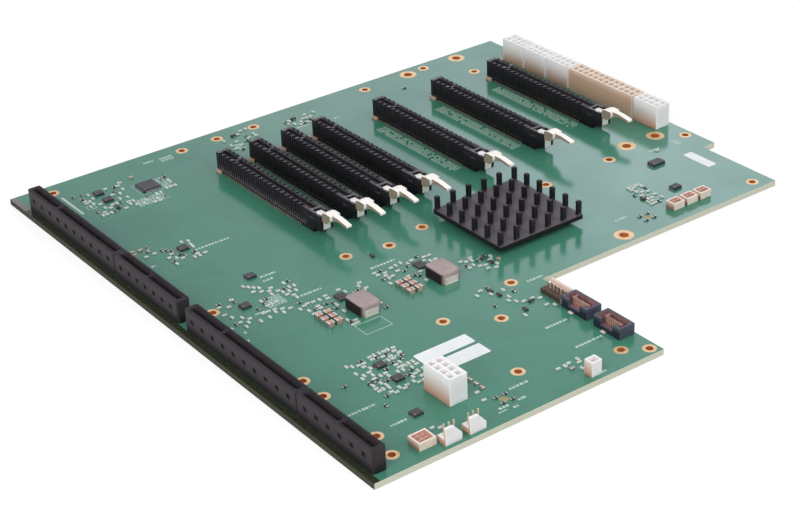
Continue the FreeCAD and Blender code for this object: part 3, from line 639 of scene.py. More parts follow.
def sinkFinish():
    look = sinkLook
    material, tree, shader = newMaterial("sinkAnodised")
    color = layGrain(tree, shader, look)
    height = axesOf(tree, objectPlace(tree))["Z"]
    headStart, headEnd = look["headSpan"]
    low = remap(tree, height, headStart * mm, headEnd * mm)
    aboveBase = mathNode(tree, "GREATER_THAN", height, look["baseTop"] * mm)
    lit = mathNode(tree, "MULTIPLY", remap(tree, facing(tree)["X"], *look["sideSpan"]), aboveBase)
    # painted light low on the pins and above the base, on faces that don't look left
    color = mixColor(tree, mathNode(tree, "MULTIPLY", low, lit), color, look["pale"])
    tree.links.new(wearEdges(tree, color, look), shader.inputs["Base Color"])
    shader.inputs["Specular IOR Level"].default_value = look["specular"]
    return material


finishes["sinkAnodised"] = sinkFinish()


# the board: green mask over copper runs, with bare laminate at its edges

maskLook = {
    "green": tint(66, 131, 108), "deep": tint(60, 123, 101),
    "cloudScale": 18.0, "cloudDetail": 6.0, "cloudSpan": (0.35, 0.65),
    "run": tint(74, 141, 117), "runShare": 0.6, "runPitch": 0.9, "runWidth": 0.30,
    "blockScale": 26.0, "blockTurn": 0.5, "blockEmpty": 0.45,
    "via": tint(118, 158, 134), "viaScale": 150.0, "viaSize": 0.055, "viaEmpty": 0.62,
    # painted shade on the narrow strip left of the host row
    "paintedLeftShade": tint(44, 52, 32), "stripEdge": -156.9, "leftCorner": tint(122, 114, 108),
    "cornerEdge": 144.0,
    "dust": 0.04, "dustScale": 380, "dusty": tint(150, 160, 152),
    "rough": (0.13, 0.2), "roughSpan": (0.3, 0.7), "refraction": 1.43, "glossTint": (0.85, 0.72, 1.0, 1.0),
    "peelScale": 260.0, "peelDetail": 2.0, "peelShare": 0.5, "pit": (0.15, 0.02),
}
laminateLook = {        # the bare edges
    "upright": 0.5, "main": tint(228, 230, 212), "layer": tint(200, 202, 176), "layerPitch": 0.5,
    "layerWidth": 0.1,
    "fibreScale": 1500.0, "fibreDetail": 4.0, "fibreSpan": (0.3, 0.7), "fibreShare": 0.35,
    # painted shade on the edge that faces left
    "paintedEdgeShade": tint(56, 58, 38), "leftSpan": (-0.3, -0.8), "rough": 0.7,
}


def linesAcross(tree, place, pitch, width):        # thin parallel lines across one direction
    wave = mathNode(tree, "PINGPONG", place, pitch / 2 * mm)
    return mathNode(tree, "LESS_THAN", wave, width / 2 * mm)


def copperRuns(tree, place, axes):        # stretches of parallel runs, some turned and some left out
    look = maskLook
    blocks = addNode(
        tree, "ShaderNodeTexVoronoi", {"Vector": place, "Scale": look["blockScale"]}, distance="CHEBYCHEV",
    )
    chance = addNode(tree, "ShaderNodeSeparateColor", {0: blocks.outputs["Color"]}).outputs
    turned = mathNode(tree, "GREATER_THAN", chance[0], look["blockTurn"])
    present = mathNode(tree, "GREATER_THAN", chance[1], look["blockEmpty"])
    alongX, alongY = [linesAcross(tree, axes[key], look["runPitch"], look["runWidth"]) for key in ("Y", "X")]
    return mathNode(tree, "MULTIPLY", mixValue(tree, turned, alongX, alongY), present)


def coveredVias(tree, place):        # scattered dots
    look = maskLook
    dots = addNode(tree, "ShaderNodeTexVoronoi", {"Vector": place, "Scale": look["viaScale"]})
    chance = addNode(tree, "ShaderNodeSeparateColor", {0: dots.outputs["Color"]}).outputs
    small = mathNode(tree, "LESS_THAN", dots.outputs["Distance"], look["viaSize"])
    return mathNode(tree, "MULTIPLY", small, mathNode(tree, "GREATER_THAN", chance[2], look["viaEmpty"]))


def bareLaminate(tree, place, axes, side):        # layers and fibres of the board's edges, with painted shade on the edge that faces left
    look = laminateLook
    layered = linesAcross(tree, axes["Z"], look["layerPitch"], look["layerWidth"])
    fibres = noise(tree, place, look["fibreScale"], look["fibreDetail"])
    color = mixColor(tree, layered, look["main"], look["layer"])
    color = mixColor(
        tree, remap(tree, fibres, *look["fibreSpan"], 0.0, look["fibreShare"]), color, look["layer"],
    )
    return mixColor(tree, remap(tree, side["X"], *look["leftSpan"]), color, look["paintedEdgeShade"])


def solderMask():
    look = maskLook
    material, tree, shader = newMaterial("solderMask")
    place = objectPlace(tree)
    axes = axesOf(tree, place)
    side = facing(tree)
    clouds = noise(tree, place, look["cloudScale"], look["cloudDetail"])
    color = mixColor(tree, remap(tree, clouds, *look["cloudSpan"]), look["green"], look["deep"])
    runs = copperRuns(tree, place, axes)
    color = mixColor(tree, mathNode(tree, "MULTIPLY", runs, look["runShare"]), color, look["run"])
    color = mixColor(tree, coveredVias(tree, place), color, look["via"])
    # painted shade on the strip left of the host row
    onStrip = mathNode(tree, "LESS_THAN", axes["X"], look["stripEdge"] * mm)
    color = mixColor(tree, onStrip, color, look["paintedLeftShade"])
    onCorner = mathNode(tree, "GREATER_THAN", axes["Y"], look["cornerEdge"] * mm)
    color = mixColor(tree, mathNode(tree, "MULTIPLY", onStrip, onCorner), color, look["leftCorner"])
    upright = mathNode(tree, "LESS_THAN", mathNode(tree, "ABSOLUTE", side["Z"]), laminateLook["upright"])
    color = layDust(tree, mixColor(tree, upright, color, bareLaminate(tree, place, axes, side)), look)
    tree.links.new(color, shader.inputs["Base Color"])
    smooth = remap(tree, clouds, *look["roughSpan"], *look["rough"])
    tree.links.new(mixValue(tree, upright, smooth, laminateLook["rough"]), shader.inputs["Roughness"])
    shader.inputs["IOR"].default_value = look["refraction"]
    shader.inputs["Specular Tint"].default_value = look["glossTint"]
    peel = noise(tree, place, look["peelScale"], look["peelDetail"])
    addBump(tree, shader, mixValue(tree, look["peelShare"], runs, peel), *look["pit"])
    return material


finishes["solderMask"] = solderMask()
print("finishes:", len(finishes))


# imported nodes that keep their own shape

for node, finish in (
    ("circuit_board", "solderMask"),
    ("switch_chip", "chipEpoxy"),
    ("thermal_pad", "thermalPad"),
    ("power_header_pins", "brassPin"),
    ("signal_header_pins", "plainPin"),
):
    paint(nodes[node], finishes[finish])
print("kept nodes painted")


# card slots: a copy of each housing with its contact cavities and side ribs cut in

slotLook = {
    "edge": 0.18, "pitch": 1.0, "cavityLength": 0.56, "cavityReach": 3.3, "cavityDepth": 3.0,
    "rearWall": 2.2, "rearStretch": 12.2, "key": 1.7, "rearContacts": 11, "frontContacts": 71,
    "ribPitch": 2.0, "ribGap": 0.95, "ribDepth": 0.42, "ribLow": 5.4, "ribHigh": 14.6,
    "ribFront": 36.0, "ribRear": 116.0,
    "notchPitch": 4.0, "notchLength": 1.9, "notchDepth": 0.5, "notchInset": 1.9,
    "overcut": 1.0, "skin": 0.2, "slack": 0.05,
}
leafLook = {
    "width": 0.46, "thick": 0.18, "foot": 0.72, "low": 7.6, "bend": 4.4, "bulge": (-0.3, 1.7),
    "tip": (0.95, 1.9),
}
cavityOvercut = 0.5        # past the top face


def cutterRow(low, high, count, step):
    return repeatAlong(addBlock("cutter", low, high), count, step)


def cavityRow(look, middle, top, firstY, count):        # a row of cuts to both sides of the card gap
    half = look["cavityLength"] / 2
    return cutterRow(
        (middle - look["cavityReach"], firstY - half, top - look["cavityDepth"]),
        (middle + look["cavityReach"], firstY + half, top + cavityOvercut),
        count, (0, -look["pitch"], 0),
    )


def cutAway(piece, cutters):
    cutter = joinPieces("cutter", cutters)
    applyModifier(piece, "BOOLEAN", object=cutter, operation="DIFFERENCE", solver="EXACT")
    removePiece(cutter)


def leafRow(middle, top, firstY, count, pitch):        # two facing rows of spring contacts in the card gap
    look = leafLook
    leaf = addBlock(
        "leaf", (look["foot"], -look["width"] / 2, -look["low"]),
        (look["foot"] + look["thick"], look["width"] / 2, -look["bend"]),
    )
    editOn(leaf)
    pickFaces(leaf, lambda place, normal: normal.z > squareOn)
    for outward, rise in (look["bulge"], look["tip"]):
        extrudeBy(outward, 0, rise)
    editOff()
    both = joinPieces("leaf", [leaf, copyPiece(leaf, "leafFacing", turn=180)])
    pair = copyPiece(both, "leafPair", (middle, firstY, top))
    removePiece(both)
    return repeatAlong(pair, count, (0, -pitch, 0))


def contactStarts(look, rear):        # the rearmost contact of the two stretches either side of the key
    wall = rear - look["rearWall"]
    rearStart = wall - (look["rearStretch"] - (look["rearContacts"] - 1) * look["pitch"]) / 2
    frontStart = wall - look["rearStretch"] - look["key"] - look["pitch"] / 2
    return (rearStart, look["rearContacts"]), (frontStart, look["frontContacts"])


def ribCutters(look, low, high):        # the gaps between the ribs of both side walls
    count = int((look["ribRear"] - look["ribFront"]) / look["ribPitch"])
    rows = []
    for face in (low.x, high.x):
        rows.append(cutterRow(
            (face - look["ribDepth"], look["ribRear"] - look["ribGap"], look["ribLow"]),
            (face + look["ribDepth"], look["ribRear"], look["ribHigh"]),
            count, (0, -look["ribPitch"], 0),
        ))
    return rows


def notchCutters(look, low, high):        # shallow cuts along the tops of the two side walls
    count = int((look["ribRear"] - look["ribFront"]) / look["notchPitch"])
    rear = look["ribRear"] - look["ribGap"] / 2
    inset, over = look["notchInset"], look["overcut"]
    rows = []
    for left, right in ((low.x - over, low.x + inset), (high.x - inset, high.x + over)):
        rows.append(cutterRow(
            (left, rear - look["notchLength"], high.z - look["notchDepth"]), (right, rear, high.z + over),
            count, (0, -look["notchPitch"], 0),
        ))
    return rows


def paintSlot(housing, look, low, high):        # black, with painted shade on the floors of ribs and notches
    middle, reach = (low.x + high.x) / 2, (high.x - low.x) / 2
    ribFloor = reach - look["ribDepth"] - look["slack"]
    paint(housing, finishes["slotPlastic"], finishes["paintedHollowShade"])
    paintFaces(housing, 1, lambda place, normal: (
        abs(normal.x) > squareOn and ribFloor < abs(place.x - middle) < reach - look["skin"]
        or normal.z > squareOn and abs(place.z - high.z + look["notchDepth"]) < look["slack"]
    ))


def makeSlots():
    look = slotLook
    low, high = edgesOf("pcie_slot_1")
    middle = (low.x + high.x) / 2
    first = roundEdges(copyNode("pcie_slot_1", "slotHousing_1"), look["edge"], 1)
    cavities = []
    leaves = []
    for start, count in contactStarts(look, high.y):
        cavities.append(cavityRow(look, middle, high.z, start, count))
        leaves.append(leafRow(middle, high.z, start, count, look["pitch"]))
    cutAway(first, cavities + ribCutters(look, low, high))
    cutAway(first, notchCutters(look, low, high))
    paintSlot(first, look, low, high)
    firstLeaves = joinPieces("slotContacts_1", leaves)
    paint(firstLeaves, finishes["springAlloyPaintedShade"])
    for number in range(1, slotCount + 1):
        shift = (edgesOf(f"pcie_slot_{number}")[0].x - low.x, 0, 0)
        housing = first if number == 1 else copyPiece(first, f"slotHousing_{number}", shift)
        contacts = firstLeaves if number == 1 else copyPiece(firstLeaves, f"slotContacts_{number}", shift)
        finishPiece(housing, stands=[f"pcie_slot_{number}"])
        finishPiece(contacts)


makeSlots()
print("slots cut")


# feet of the slots: a row of solder tails on the near side and the lug of the board lock

footLook = {
    "reach": 0.45, "high": 0.9, "length": 1.0, "pitch": 2.0, "frontClear": 15.0, "rearClear": 7.0,
    "lug": (1.4, 4.4, 1.6), "lugEnd": 0.6, "sunk": 0.1, "edge": 0.2, "tailEdge": 0.09,
}


def makeFeet():
    look = footLook
    wide, deep, tall = look["lug"]
    tails = []
    lugs = []
    for number in range(1, slotCount + 1):
        low, high = edgesOf(f"pcie_slot_{number}")
        start = high.y - look["rearClear"]
        count = int((start - low.y - look["frontClear"]) / look["pitch"])
        tail = roundEdges(addBlock(
            "tail", (low.x - look["reach"], start - look["length"], boardTop),
            (low.x + look["sunk"], start, boardTop + look["high"]),
        ), look["tailEdge"], 1)
        tails.append(repeatAlong(tail, count, (0, -look["pitch"], 0)))
        lugRear = high.y - look["lugEnd"]
        lugs.append(roundEdges(addBlock(
            "lug", (low.x - wide, lugRear - deep, boardTop), (low.x + look["sunk"], lugRear, boardTop + tall),
        ), look["edge"]))
    for name, pieces, finish, slotName in (
        ("slotTails", tails, "dullTail", "pin"), ("slotLugs", lugs, "lockPlastic", "lock"),
    ):
        piece = joinPieces(name, pieces)
        paint(piece, finishes[finish])
        finishPiece(piece)


makeFeet()
print("slot feet set")


# host connectors: the same cut work along the left edge

hostLook = {
    "edge": 0.18, "pitch": 1.0, "cavityLength": 0.56, "cavityReach": 2.4, "cavityDepth": 2.8,
    "endWall": 2.4, "firstStretch": 25.0, "key": 1.7, "margin": 0.6, "windowSpan": (0.2, 1.6),
    "windowTop": 1.0,
}


def makeHosts():
    look = hostLook
    for letter in "abcd":
        node = f"host_connector_{letter}"
        low, high = edgesOf(node)
        middle = (low.x + high.x) / 2
        housing = roundEdges(copyNode(node, f"hostHousing_{letter}"), look["edge"], 1)
        rearStart = high.y - look["endWall"]
        lastStretch = high.y - low.y - look["endWall"] * 2 - look["firstStretch"] - look["key"]
        cutters = []
        leaves = []
        for start, stretch in (
            (rearStart, look["firstStretch"]),
            (rearStart - look["firstStretch"] - look["key"], lastStretch),
        ):
            count = int((stretch - look["margin"]) / look["pitch"])
            inset = (stretch - (count - 1) * look["pitch"]) / 2
            cutters.append(cavityRow(look, middle, high.z, start - inset, count))
            leaves.append(leafRow(middle, high.z, start - inset, count, look["pitch"]))
        cutAway(housing, cutters)
        paint(housing, finishes["hostPlastic"], finishes["paintedHollowShade"])
        inner, outer = look["windowSpan"]
        paintFaces(housing, 1, lambda place, normal: (        # painted shade inside the side windows
            inner < place.x - low.x < outer and place.z < high.z - look["windowTop"]
        ))
        contacts = joinPieces(f"hostContacts_{letter}", leaves)
        paint(contacts, finishes["springAlloyPaintedShade"])
        finishPiece(housing, stands=[node])
        finishPiece(contacts)


makeHosts()
print("host row cut")


# moulded pieces whose edges are eased

easedPieces = [        # node, name, finish, slot, edge width and whether flat faces are made whole
    ("slot_board_locks", "slotBoardLocks", "lockPlastic", "lock", 0.2, True),
    ("heat_sink", "heatSink", "sinkAnodised", "sink", 0.18, False),
    *[(f"power_header_{number}", f"powerHeader_{number}", "whiteNylon", "white_nylon", 0.16, False)
      for number in range(1, 5)],
    ("power_header_24", "powerHeader_24", "tanNylon", "tan_nylon", 0.16, False),
    ("aux_power_header", "auxPowerHeader", "whiteNylon", "white_nylon", 0.16, False),
    *[(f"fan_header_{number}", f"fanHeader_{number}", "whiteNylon", "white_nylon", 0.14, True)
      for number in (1, 2)],
    ("notch_header", "notchHeader", "notchNylon", "ivory_nylon", 0.14, True),
    *[(f"inductor_{number}", f"inductor_{number}_core", "coreFerrite", "core", 0.5, True)
      for number in (1, 2)],
]

notchLook = {"innerSide": 0.5, "floorTop": 3.0}
latchLook = {"edge": 0.2}

for node, name, finish, slotName, edge, whole in easedPieces:
    eased = roundEdges(copyNode(node, name, whole), edge)
    paint(eased, finishes[finish])
    if node == "notch_header":        # painted shade on the floor and inner side, pale outer wall
        innerSide = edgesOf(node)[0].x + notchLook["innerSide"]
        floorTop = boardTop + notchLook["floorTop"]
        eased.data.materials.append(finishes["paintedFloorShade"])
        paintFaces(eased, 1, lambda place, normal: (
            normal.z > squareOn and place.z < floorTop or normal.x < -squareOn and place.x < innerSide
        ))
    finishPiece(eased, stands=[node])

for number in range(1, slotCount + 1):        # card latches, each attached to its own body
    node = f"slot_latch_{number}"
    latch = roundEdges(copyNode(node, f"cardLatch_{number}"), latchLook["edge"])
    paint(latch, finishes["latchPlastic"])
    finishPiece(latch, body=f"latch_{number}", stands=[node])
print("eased pieces:", len(easedPieces) + slotCount)


# small open boxes: wafer headers and data connectors, with painted shade inside the ivory headers and painted
# light inside the shrouds

openBoxes = [        # node, name, outer and inner finish, slot, wall
    ("wafer_header", "waferHeader", "ivoryNylon", "paintedRoseShade", "ivory_nylon", 0.9),
    ("small_header", "smallHeader", "whiteNylon", "whiteNylon", "white_nylon", 0.9),
    *[(f"side_header_{number}", f"sideHeader_{number}", "ivoryNylon", "paintedRoseShade", "ivory_nylon", 0.9)
      for number in (1, 2, 3)],
    *[(f"sata_connector_{number}", f"dataShroud_{number}", "shroudPlastic", "paintedShroudLight", "shroud", 1.3)
      for number in (1, 2)],
]

boxLook = {"edge": 0.14, "wallShare": 0.8, "rim": 0.3}

for node, name, outer, inner, slotName, wall in openBoxes:
    low, high = edgesOf(node)
    box = roundEdges(copyNode(node, name, False), boxLook["edge"], 1)
    paint(box, finishes[outer], finishes[inner])
    inset = wall * boxLook["wallShare"]
    # inner faces take the second finish: painted shade or painted light
    paintFaces(box, 1, lambda place, normal: (
        low.x + inset < place.x < high.x - inset and low.y + inset < place.y < high.y - inset
        and place.z < high.z - boxLook["rim"]
    ))
    finishPiece(box, stands=[node])
print("open boxes:", len(openBoxes))


# contact strips on the tongues of the data connectors, and a tin tab at the foot of each

stripLook = {
    "count": 7, "pitch": 1.27, "width": 0.7, "thick": 0.1, "low": 2.2, "high": 5.0, "tongueHalf": 0.65,
    "edge": 0.03,
}
tabLook = {
    "reach": 1.3, "sunk": 0.1, "length": 2.8, "thick": 0.25, "rim": 0.2, "lean": 0.3, "rise": 0.35,
    "edge": 0.06,
}


def makeDataStrips():
    look = stripLook
    rows = []
    for number in (1, 2):
        low, high = edgesOf(f"sata_connector_{number}")
        middle = (low + high) / 2
        face = middle.x - look["tongueHalf"]
        firstY = middle.y - (look["count"] - 1) * look["pitch"] / 2
        strip = addBlock(
            f"strip_{number}", (face - look["thick"], firstY - look["width"] / 2, boardTop + look["low"]),
            (face, firstY + look["width"] / 2, boardTop + look["high"]),
        )
        rows.append(repeatAlong(roundEdges(strip, look["edge"], 1), look["count"], (0, look["pitch"], 0)))
    strips = joinPieces("dataStrips", rows)
    paint(strips, finishes["goldPlate"])
    finishPiece(strips)


def makeDataTabs():
    look = tabLook
    tabs = []
    for number in (1, 2):
        low, high = edgesOf(f"sata_connector_{number}")
        front = (low.y + high.y) / 2
        tab = addBlock(
            f"tab_{number}", (low.x - look["reach"], front, boardTop),
            (low.x + look["sunk"], front + look["length"], boardTop + look["thick"]),
        )
        editOn(tab)
        pickFaces(tab, lambda place, normal: normal.z > squareOn)
        bpy.ops.mesh.inset(thickness=look["rim"] * mm)
        extrudeBy(look["lean"], 0, look["rise"])        # solder climbs towards the shroud
        editOff()
        tabs.append(roundEdges(tab, look["edge"], 1))
    piece = joinPieces("dataTabs", tabs)
    paint(piece, finishes["terminalTin"])
    finishPiece(piece)


makeDataStrips()
makeDataTabs()
print("data connectors dressed")


# flat packages: an eased body with a pin mark, and gull leads beside it

packageLook = {
    "edge": 0.2, "leadThick": 0.14, "sunk": 0.1, "reach": 0.32, "drop": 0.22, "foot": 0.5, "footGap": 0.02,
    "riseShare": 0.5, "dot": 0.34, "dotPoints": 20, "dotInset": 0.95, "dotRise": 0.02, "dotRim": 0.12,
    "dotHollow": 0.015, "dotThick": 0.04,
}
packages = [        # node, name, sides with leads, leads a side, pitch, lead width
    ("control_chip", "controlChip", 4, 14, 0.62, 0.3),
    *[(f"logic_chip_{number}", f"logicChip_{number}", 2, 5, 0.78, 0.34) for number in range(1, 9)],
    ("outline_chip_1", "outlineChip_1", 2, 4, 1.2, 0.42),
    ("outline_chip_2", "outlineChip_2", 2, 4, 0.9, 0.36),
]


def leadRow(face, count, pitch, width, rise):        # leads along the right side: out, down and out to a foot
    look = packageLook
    half = look["leadThick"] / 2
    start = -(count - 1) * pitch / 2
    lead = addBlock(
        "lead", (face - look["sunk"], start - width / 2, rise - half),
        (face + look["reach"], start + width / 2, rise + half),
    )
    editOn(lead)
    pickFaces(lead, lambda place, normal: normal.x > squareOn)
    extrudeBy(look["drop"], 0, half + look["footGap"] - rise)
    extrudeBy(look["foot"], 0, 0)
    editOff()
    return repeatAlong(lead, count, (0, pitch, 0))


def addLeads(name, middle, halfX, halfY, sides, count, pitch, width, rise):
    rows = []
    for turn, face in ((0, halfX), (180, halfX), (90, halfY), (270, halfY))[:sides]:
        source = leadRow(face, count, pitch, width, rise)
        rows.append(copyPiece(source, f"{name}_{turn}", (middle.x, middle.y, boardTop), turn))
        removePiece(source)
    return rows


def pinMark(name, x, y, z):        # a small dished dot
    look = packageLook
    deselectAll()
    bpy.ops.mesh.primitive_circle_add(
        vertices=look["dotPoints"], radius=look["dot"] * mm, fill_type="NGON",
        location=(x * mm, y * mm, z * mm),
    )
    bpy.ops.object.transform_apply(location=True, rotation=True, scale=True)
    dot = rename(bpy.context.object, name)
    editOn(dot)
    bpy.ops.mesh.select_all(action="SELECT")
    bpy.ops.mesh.inset(thickness=look["dotRim"] * mm)
    bpy.ops.transform.translate(value=(0, 0, -look["dotHollow"] * mm))
    editOff()
    applyModifier(dot, "SOLIDIFY", thickness=look["dotThick"] * mm, offset=-1)
    return dot


def makePackages():
    look = packageLook
    leads = []
    dots = []
    for node, name, sides, count, pitch, width in packages:
        low, high = edgesOf(node)
        middle = (low + high) / 2
        body = roundEdges(copyNode(node, name), look["edge"])
        paint(body, finishes["chipEpoxy"])
        finishPiece(body, stands=[node])
        halfX, halfY = (high.x - low.x) / 2, (high.y - low.y) / 2
        rise = (high.z - boardTop) * look["riseShare"]
        leads += addLeads(name, middle, halfX, halfY, sides, count, pitch, width, rise)
        inset = look["dotInset"]
        dots.append(pinMark(f"dot_{name}", low.x + inset, low.y + inset, high.z + look["dotRise"]))
    rows = joinPieces("chipLeads", leads)
    paint(rows, finishes["tinPlate"])
    finishPiece(rows)
    marks = joinPieces("chipMarks", dots)
    paint(marks, finishes["thermalPad"])
    finishPiece(marks)


makePackages()
print("packages:", len(packages))


# plated rings round the holes, with the plated wall inside

ringLook = {
    "points": 36, "start": 0.004, "lift": 0.05, "depth": 2.9, "rim": 0.1, "wallTop": -0.3, "plating": 0.04,
}
ringKinds = {        # radius of the hole and of its ring, and where they are
    "smallRings": {"hole": 1.74, "ring": 3.35, "places": [
        (-62.0, 152.6), (-16.0, 152.6), (-62.0, -2.4), (-16.0, -2.4), (-39.6, 152.85), (60.2, 152.85),
        (-39.6, -7.15), (60.2, -7.15), (-139.6, 152.9), (-139.6, -6.3), (104.1, 155.2), (104.1, -6.8),
        (-17.7, -73.5), (141.5, -73.5), (-140.0, -81.2), (-140.0, -135.2), (123.6, 131.6), (155.0, -11.1),
        (-41.5, -95.6), (-63.5, -80.9), (-64.3, -134.8), (-18.8, -150.2), (-8.4, -157.2), (-140.0, -96.6),
        (-143.0, -149.9),
    ]},
    "largeRings": {"hole": 2.44, "ring": 5.0, "places": [
        (91.8, 153.6), (128.1, 154.3), (122.2, -0.6), (142.3, -1.2), (53.7, -73.2),
    ]},
}


def makeRing(name, kind):
    look = ringLook
    deselectAll()
    bpy.ops.mesh.primitive_circle_add(
        vertices=look["points"], radius=kind["ring"] * mm, fill_type="NGON",
        location=(0, 0, look["start"] * mm),
    )
    bpy.ops.object.transform_apply(location=True, rotation=True, scale=True)
    ring = rename(bpy.context.object, name)
    paint(ring, finishes["goldPlate"], finishes["copperWall"])
    editOn(ring)
    bpy.ops.mesh.select_all(action="SELECT")
    bpy.ops.mesh.inset(thickness=look["rim"] * mm)
    bpy.ops.transform.translate(value=(0, 0, (look["lift"] - look["start"]) * mm))
    bpy.ops.mesh.inset(thickness=(kind["ring"] - look["rim"] - kind["hole"]) * mm)
    extrudeBy(0, 0, -look["depth"])
    bpy.ops.mesh.delete(type="FACE")
    editOff()
    paintFaces(ring, 1, lambda place, normal: place.z < look["wallTop"])
    applyModifier(ring, "SOLIDIFY", thickness=look["plating"] * mm, offset=-1)
    return ring


for name, kind in ringKinds.items():
    places = [(x, y, 0) for x, y in kind["places"]]
    finishPiece(scatter(makeRing("ring", kind), name, places))
print("rings:", sum(len(kind["places"]) for kind in ringKinds.values()))


# three-lead transistors and flat power chips

transistorLook = {
    "half": (0.75, 1.5), "low": 0.12, "high": 1.1, "edge": 0.12, "leadPitch": 1.9, "leadWidth": 0.42,
    "places": [
        (-121.6, 115.6, 0), (-30.4, -73.7, 0), (-29.5, -79.2, 0), (-21.8, -92.9, 90), (-28.6, -97.0, 0),
        (-13.5, -47.5, 90), (-12.7, -52.9, 0), (-52.5, -10.8, 0), (86.1, -51.6, 0), (-31.1, 149.6, 90),
        (6.2, 146.2, 90),
    ],
}
powerChipLook = {
    "half": (2.6, 3.1), "low": 0.05, "high": 1.0, "edge": 0.12, "padReach": 0.35, "padInset": 0.5,
    "padWidth": 0.4,
    "padHigh": 0.2, "padEdge": 0.03, "padCount": 7, "padPitch": 0.86,
    "places": [(-86.4, -33.3, 0), (-40.2, -32.9, 0)],
}


def makeTransistors():
    look = transistorLook
    halfX, halfY = look["half"]
    block = addBlock("transistor", (-halfX, -halfY, look["low"]), (halfX, halfY, look["high"]))
    body = roundEdges(block, look["edge"])
    paint(body, finishes["chipEpoxy"])
    middle = (look["low"] + look["high"]) / 2
    pair = leadRow(halfX, 2, look["leadPitch"], look["leadWidth"], middle)
    single = leadRow(halfX, 1, look["leadPitch"], look["leadWidth"], middle)
    turned = copyPiece(single, "turnedLead", turn=180)
    removePiece(single)
    for lead in (pair, turned):
        paint(lead, finishes["tinPlate"])
    group = joinPieces("transistor", [body, pair, turned])
    finishPiece(scatter(group, "transistors", look["places"]))


def makePowerChips():
    look = powerChipLook
    halfX, halfY = look["half"]
    block = addBlock("powerChip", (-halfX, -halfY, look["low"]), (halfX, halfY, look["high"]))
    body = roundEdges(block, look["edge"])
    paint(body, finishes["chipEpoxy"])
    pads = []
    front = look["padInset"] - halfY
    for side in (-halfX, halfX):
        pad = addBlock(
            "pad", (side - look["padReach"], front, 0),
            (side + look["padReach"], front + look["padWidth"], look["padHigh"]),
        )
        pads.append(
            repeatAlong(roundEdges(pad, look["padEdge"], 1), look["padCount"], (0, look["padPitch"], 0)),
        )
    for pad in pads:
        paint(pad, finishes["tinPlate"])
    group = joinPieces("powerChip", [body] + pads)
    finishPiece(scatter(group, "powerChips", look["places"]))


makeTransistors()
makePowerChips()
print("transistors and power chips:", len(transistorLook["places"]) + len(powerChipLook["places"]))


# chip resistors and capacitors: a body with two metal ends

chipPartLook = {
    "tanCapacitor": {
        "size": (2.2, 1.4, 1.1), "cap": 0.45, "body": "capCeramic", "slot": "capacitor", "edge": 0.08,
    },
    "paleCapacitor": {
        "size": (2.2, 1.3, 0.7), "cap": 0.55, "body": "paleCeramic", "ends": "solderEnd", "slot": "capacitor",
        "edge": 0.06,
    },
    "darkResistor": {
        "size": (2.2, 1.3, 0.8), "cap": 0.4, "body": "resistorCoat", "slot": "epoxy", "edge": 0.06,
    },
    "rowCapacitor": {
        "size": (1.1, 0.85, 0.5), "cap": 0.28, "body": "coveredPad", "ends": "solderEnd", "slot": "capacitor",
        "edge": 0.05,
    },
    "bankCapacitor": {
        "size": (3.4, 2.8, 2.6), "cap": 0.7, "body": "capCeramic", "slot": "capacitor", "edge": 0.16,
    },
}


def makeChipPart(kind):
    look = chipPartLook[kind]
    length, width, height = look["size"]
    inner = length / 2 - look["cap"]
    part = addBlock(kind, (-inner, -width / 2, 0), (inner, width / 2, height))
    paint(part, finishes[look["body"]], finishes[look.get("ends", "tinPlate")])
    editOn(part)
    for side in (-1, 1):
        pickFaces(part, lambda place, normal: normal.x * side > squareOn)
        extrudeBy(side * look["cap"], 0, 0)
    editOff()
    paintFaces(part, 1, lambda place, normal: abs(place.x) > inner + mergeGap)
    return roundEdges(part, look["edge"], 1)


def makeBanks():        # two columns of three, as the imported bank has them
    length, width = chipPartLook["bankCapacitor"]["size"][:2]
    for number in (1, 2):
        low, high = edgesOf(f"capacitor_bank_{number}")
        rows = [low.y + width / 2, (low.y + high.y) / 2, high.y - width / 2]
        columns = [low.x + length / 2, high.x - length / 2]
        places = [(x, y, 0) for x in columns for y in rows]
        bank = scatter(makeChipPart("bankCapacitor"), f"capacitorBank_{number}", places)
        finishPiece(bank, stands=[f"capacitor_bank_{number}"])


makeBanks()
print("capacitor banks set")

rowLook = {        # rows of small capacitors left of the wide-spaced slots
    "slots": (5, 6, 7), "front": 36.9, "rear": 103.8, "pitch": 1.9, "offsets": (-3.0, -4.7, -6.4, -8.1),
    "skip": 0.12,
    "seed": 5,
}


def rowPlaces():
    look = rowLook
    chance = random.Random(look["seed"])
    found = []
    for slot in look["slots"]:
        left = edgesOf(f"pcie_slot_{slot}")[0].x
        for offset in look["offsets"]:
            y = look["front"]
            while y < look["rear"]:
                if chance.random() > look["skip"]:
                    found.append((left + offset, y, 0))
                y += look["pitch"]
    return found


clusterLook = {
    "step": 2.5, "near": 2.3, "margin": 2.0, "ringGap": 1.3, "wobble": 0.25, "darkEvery": 4, "seed": 23,
}
clusterAreas = [        # left, front, right, rear and the share of places that are taken
    (-119.5, -114.5, -93.5, -84.5, 0.95), (-134.5, 112.5, -108.0, 142.0, 0.42),
    (-128.5, 44.5, -109.5, 62.5, 0.4), (-137.0, -27.5, -97.0, -1.0, 0.3),
    (-107.0, -40.5, -74.0, -26.5, 0.45), (-61.5, -40.5, -30.0, -25.5, 0.45),
    (-24.0, -58.0, -8.5, -41.0, 0.5), (86.0, -58.5, 98.0, -36.5, 0.6), (-111.0, 108.5, -94.0, 118.0, 0.5),
    (-91.0, 118.5, -85.5, 133.0, 0.6), (-142.0, 60.0, -131.0, 69.5, 0.5),
    (-38.5, 132.0, -20.0, 151.0, 0.25), (-96.0, -57.0, -76.0, -41.5, 0.2),
    (-51.0, -146.5, -36.5, -142.5, 0.5), (-37.0, -101.0, -14.5, -70.0, 0.12),
    (0.5, 137.6, 15.6, 145.2, 0.55),
]


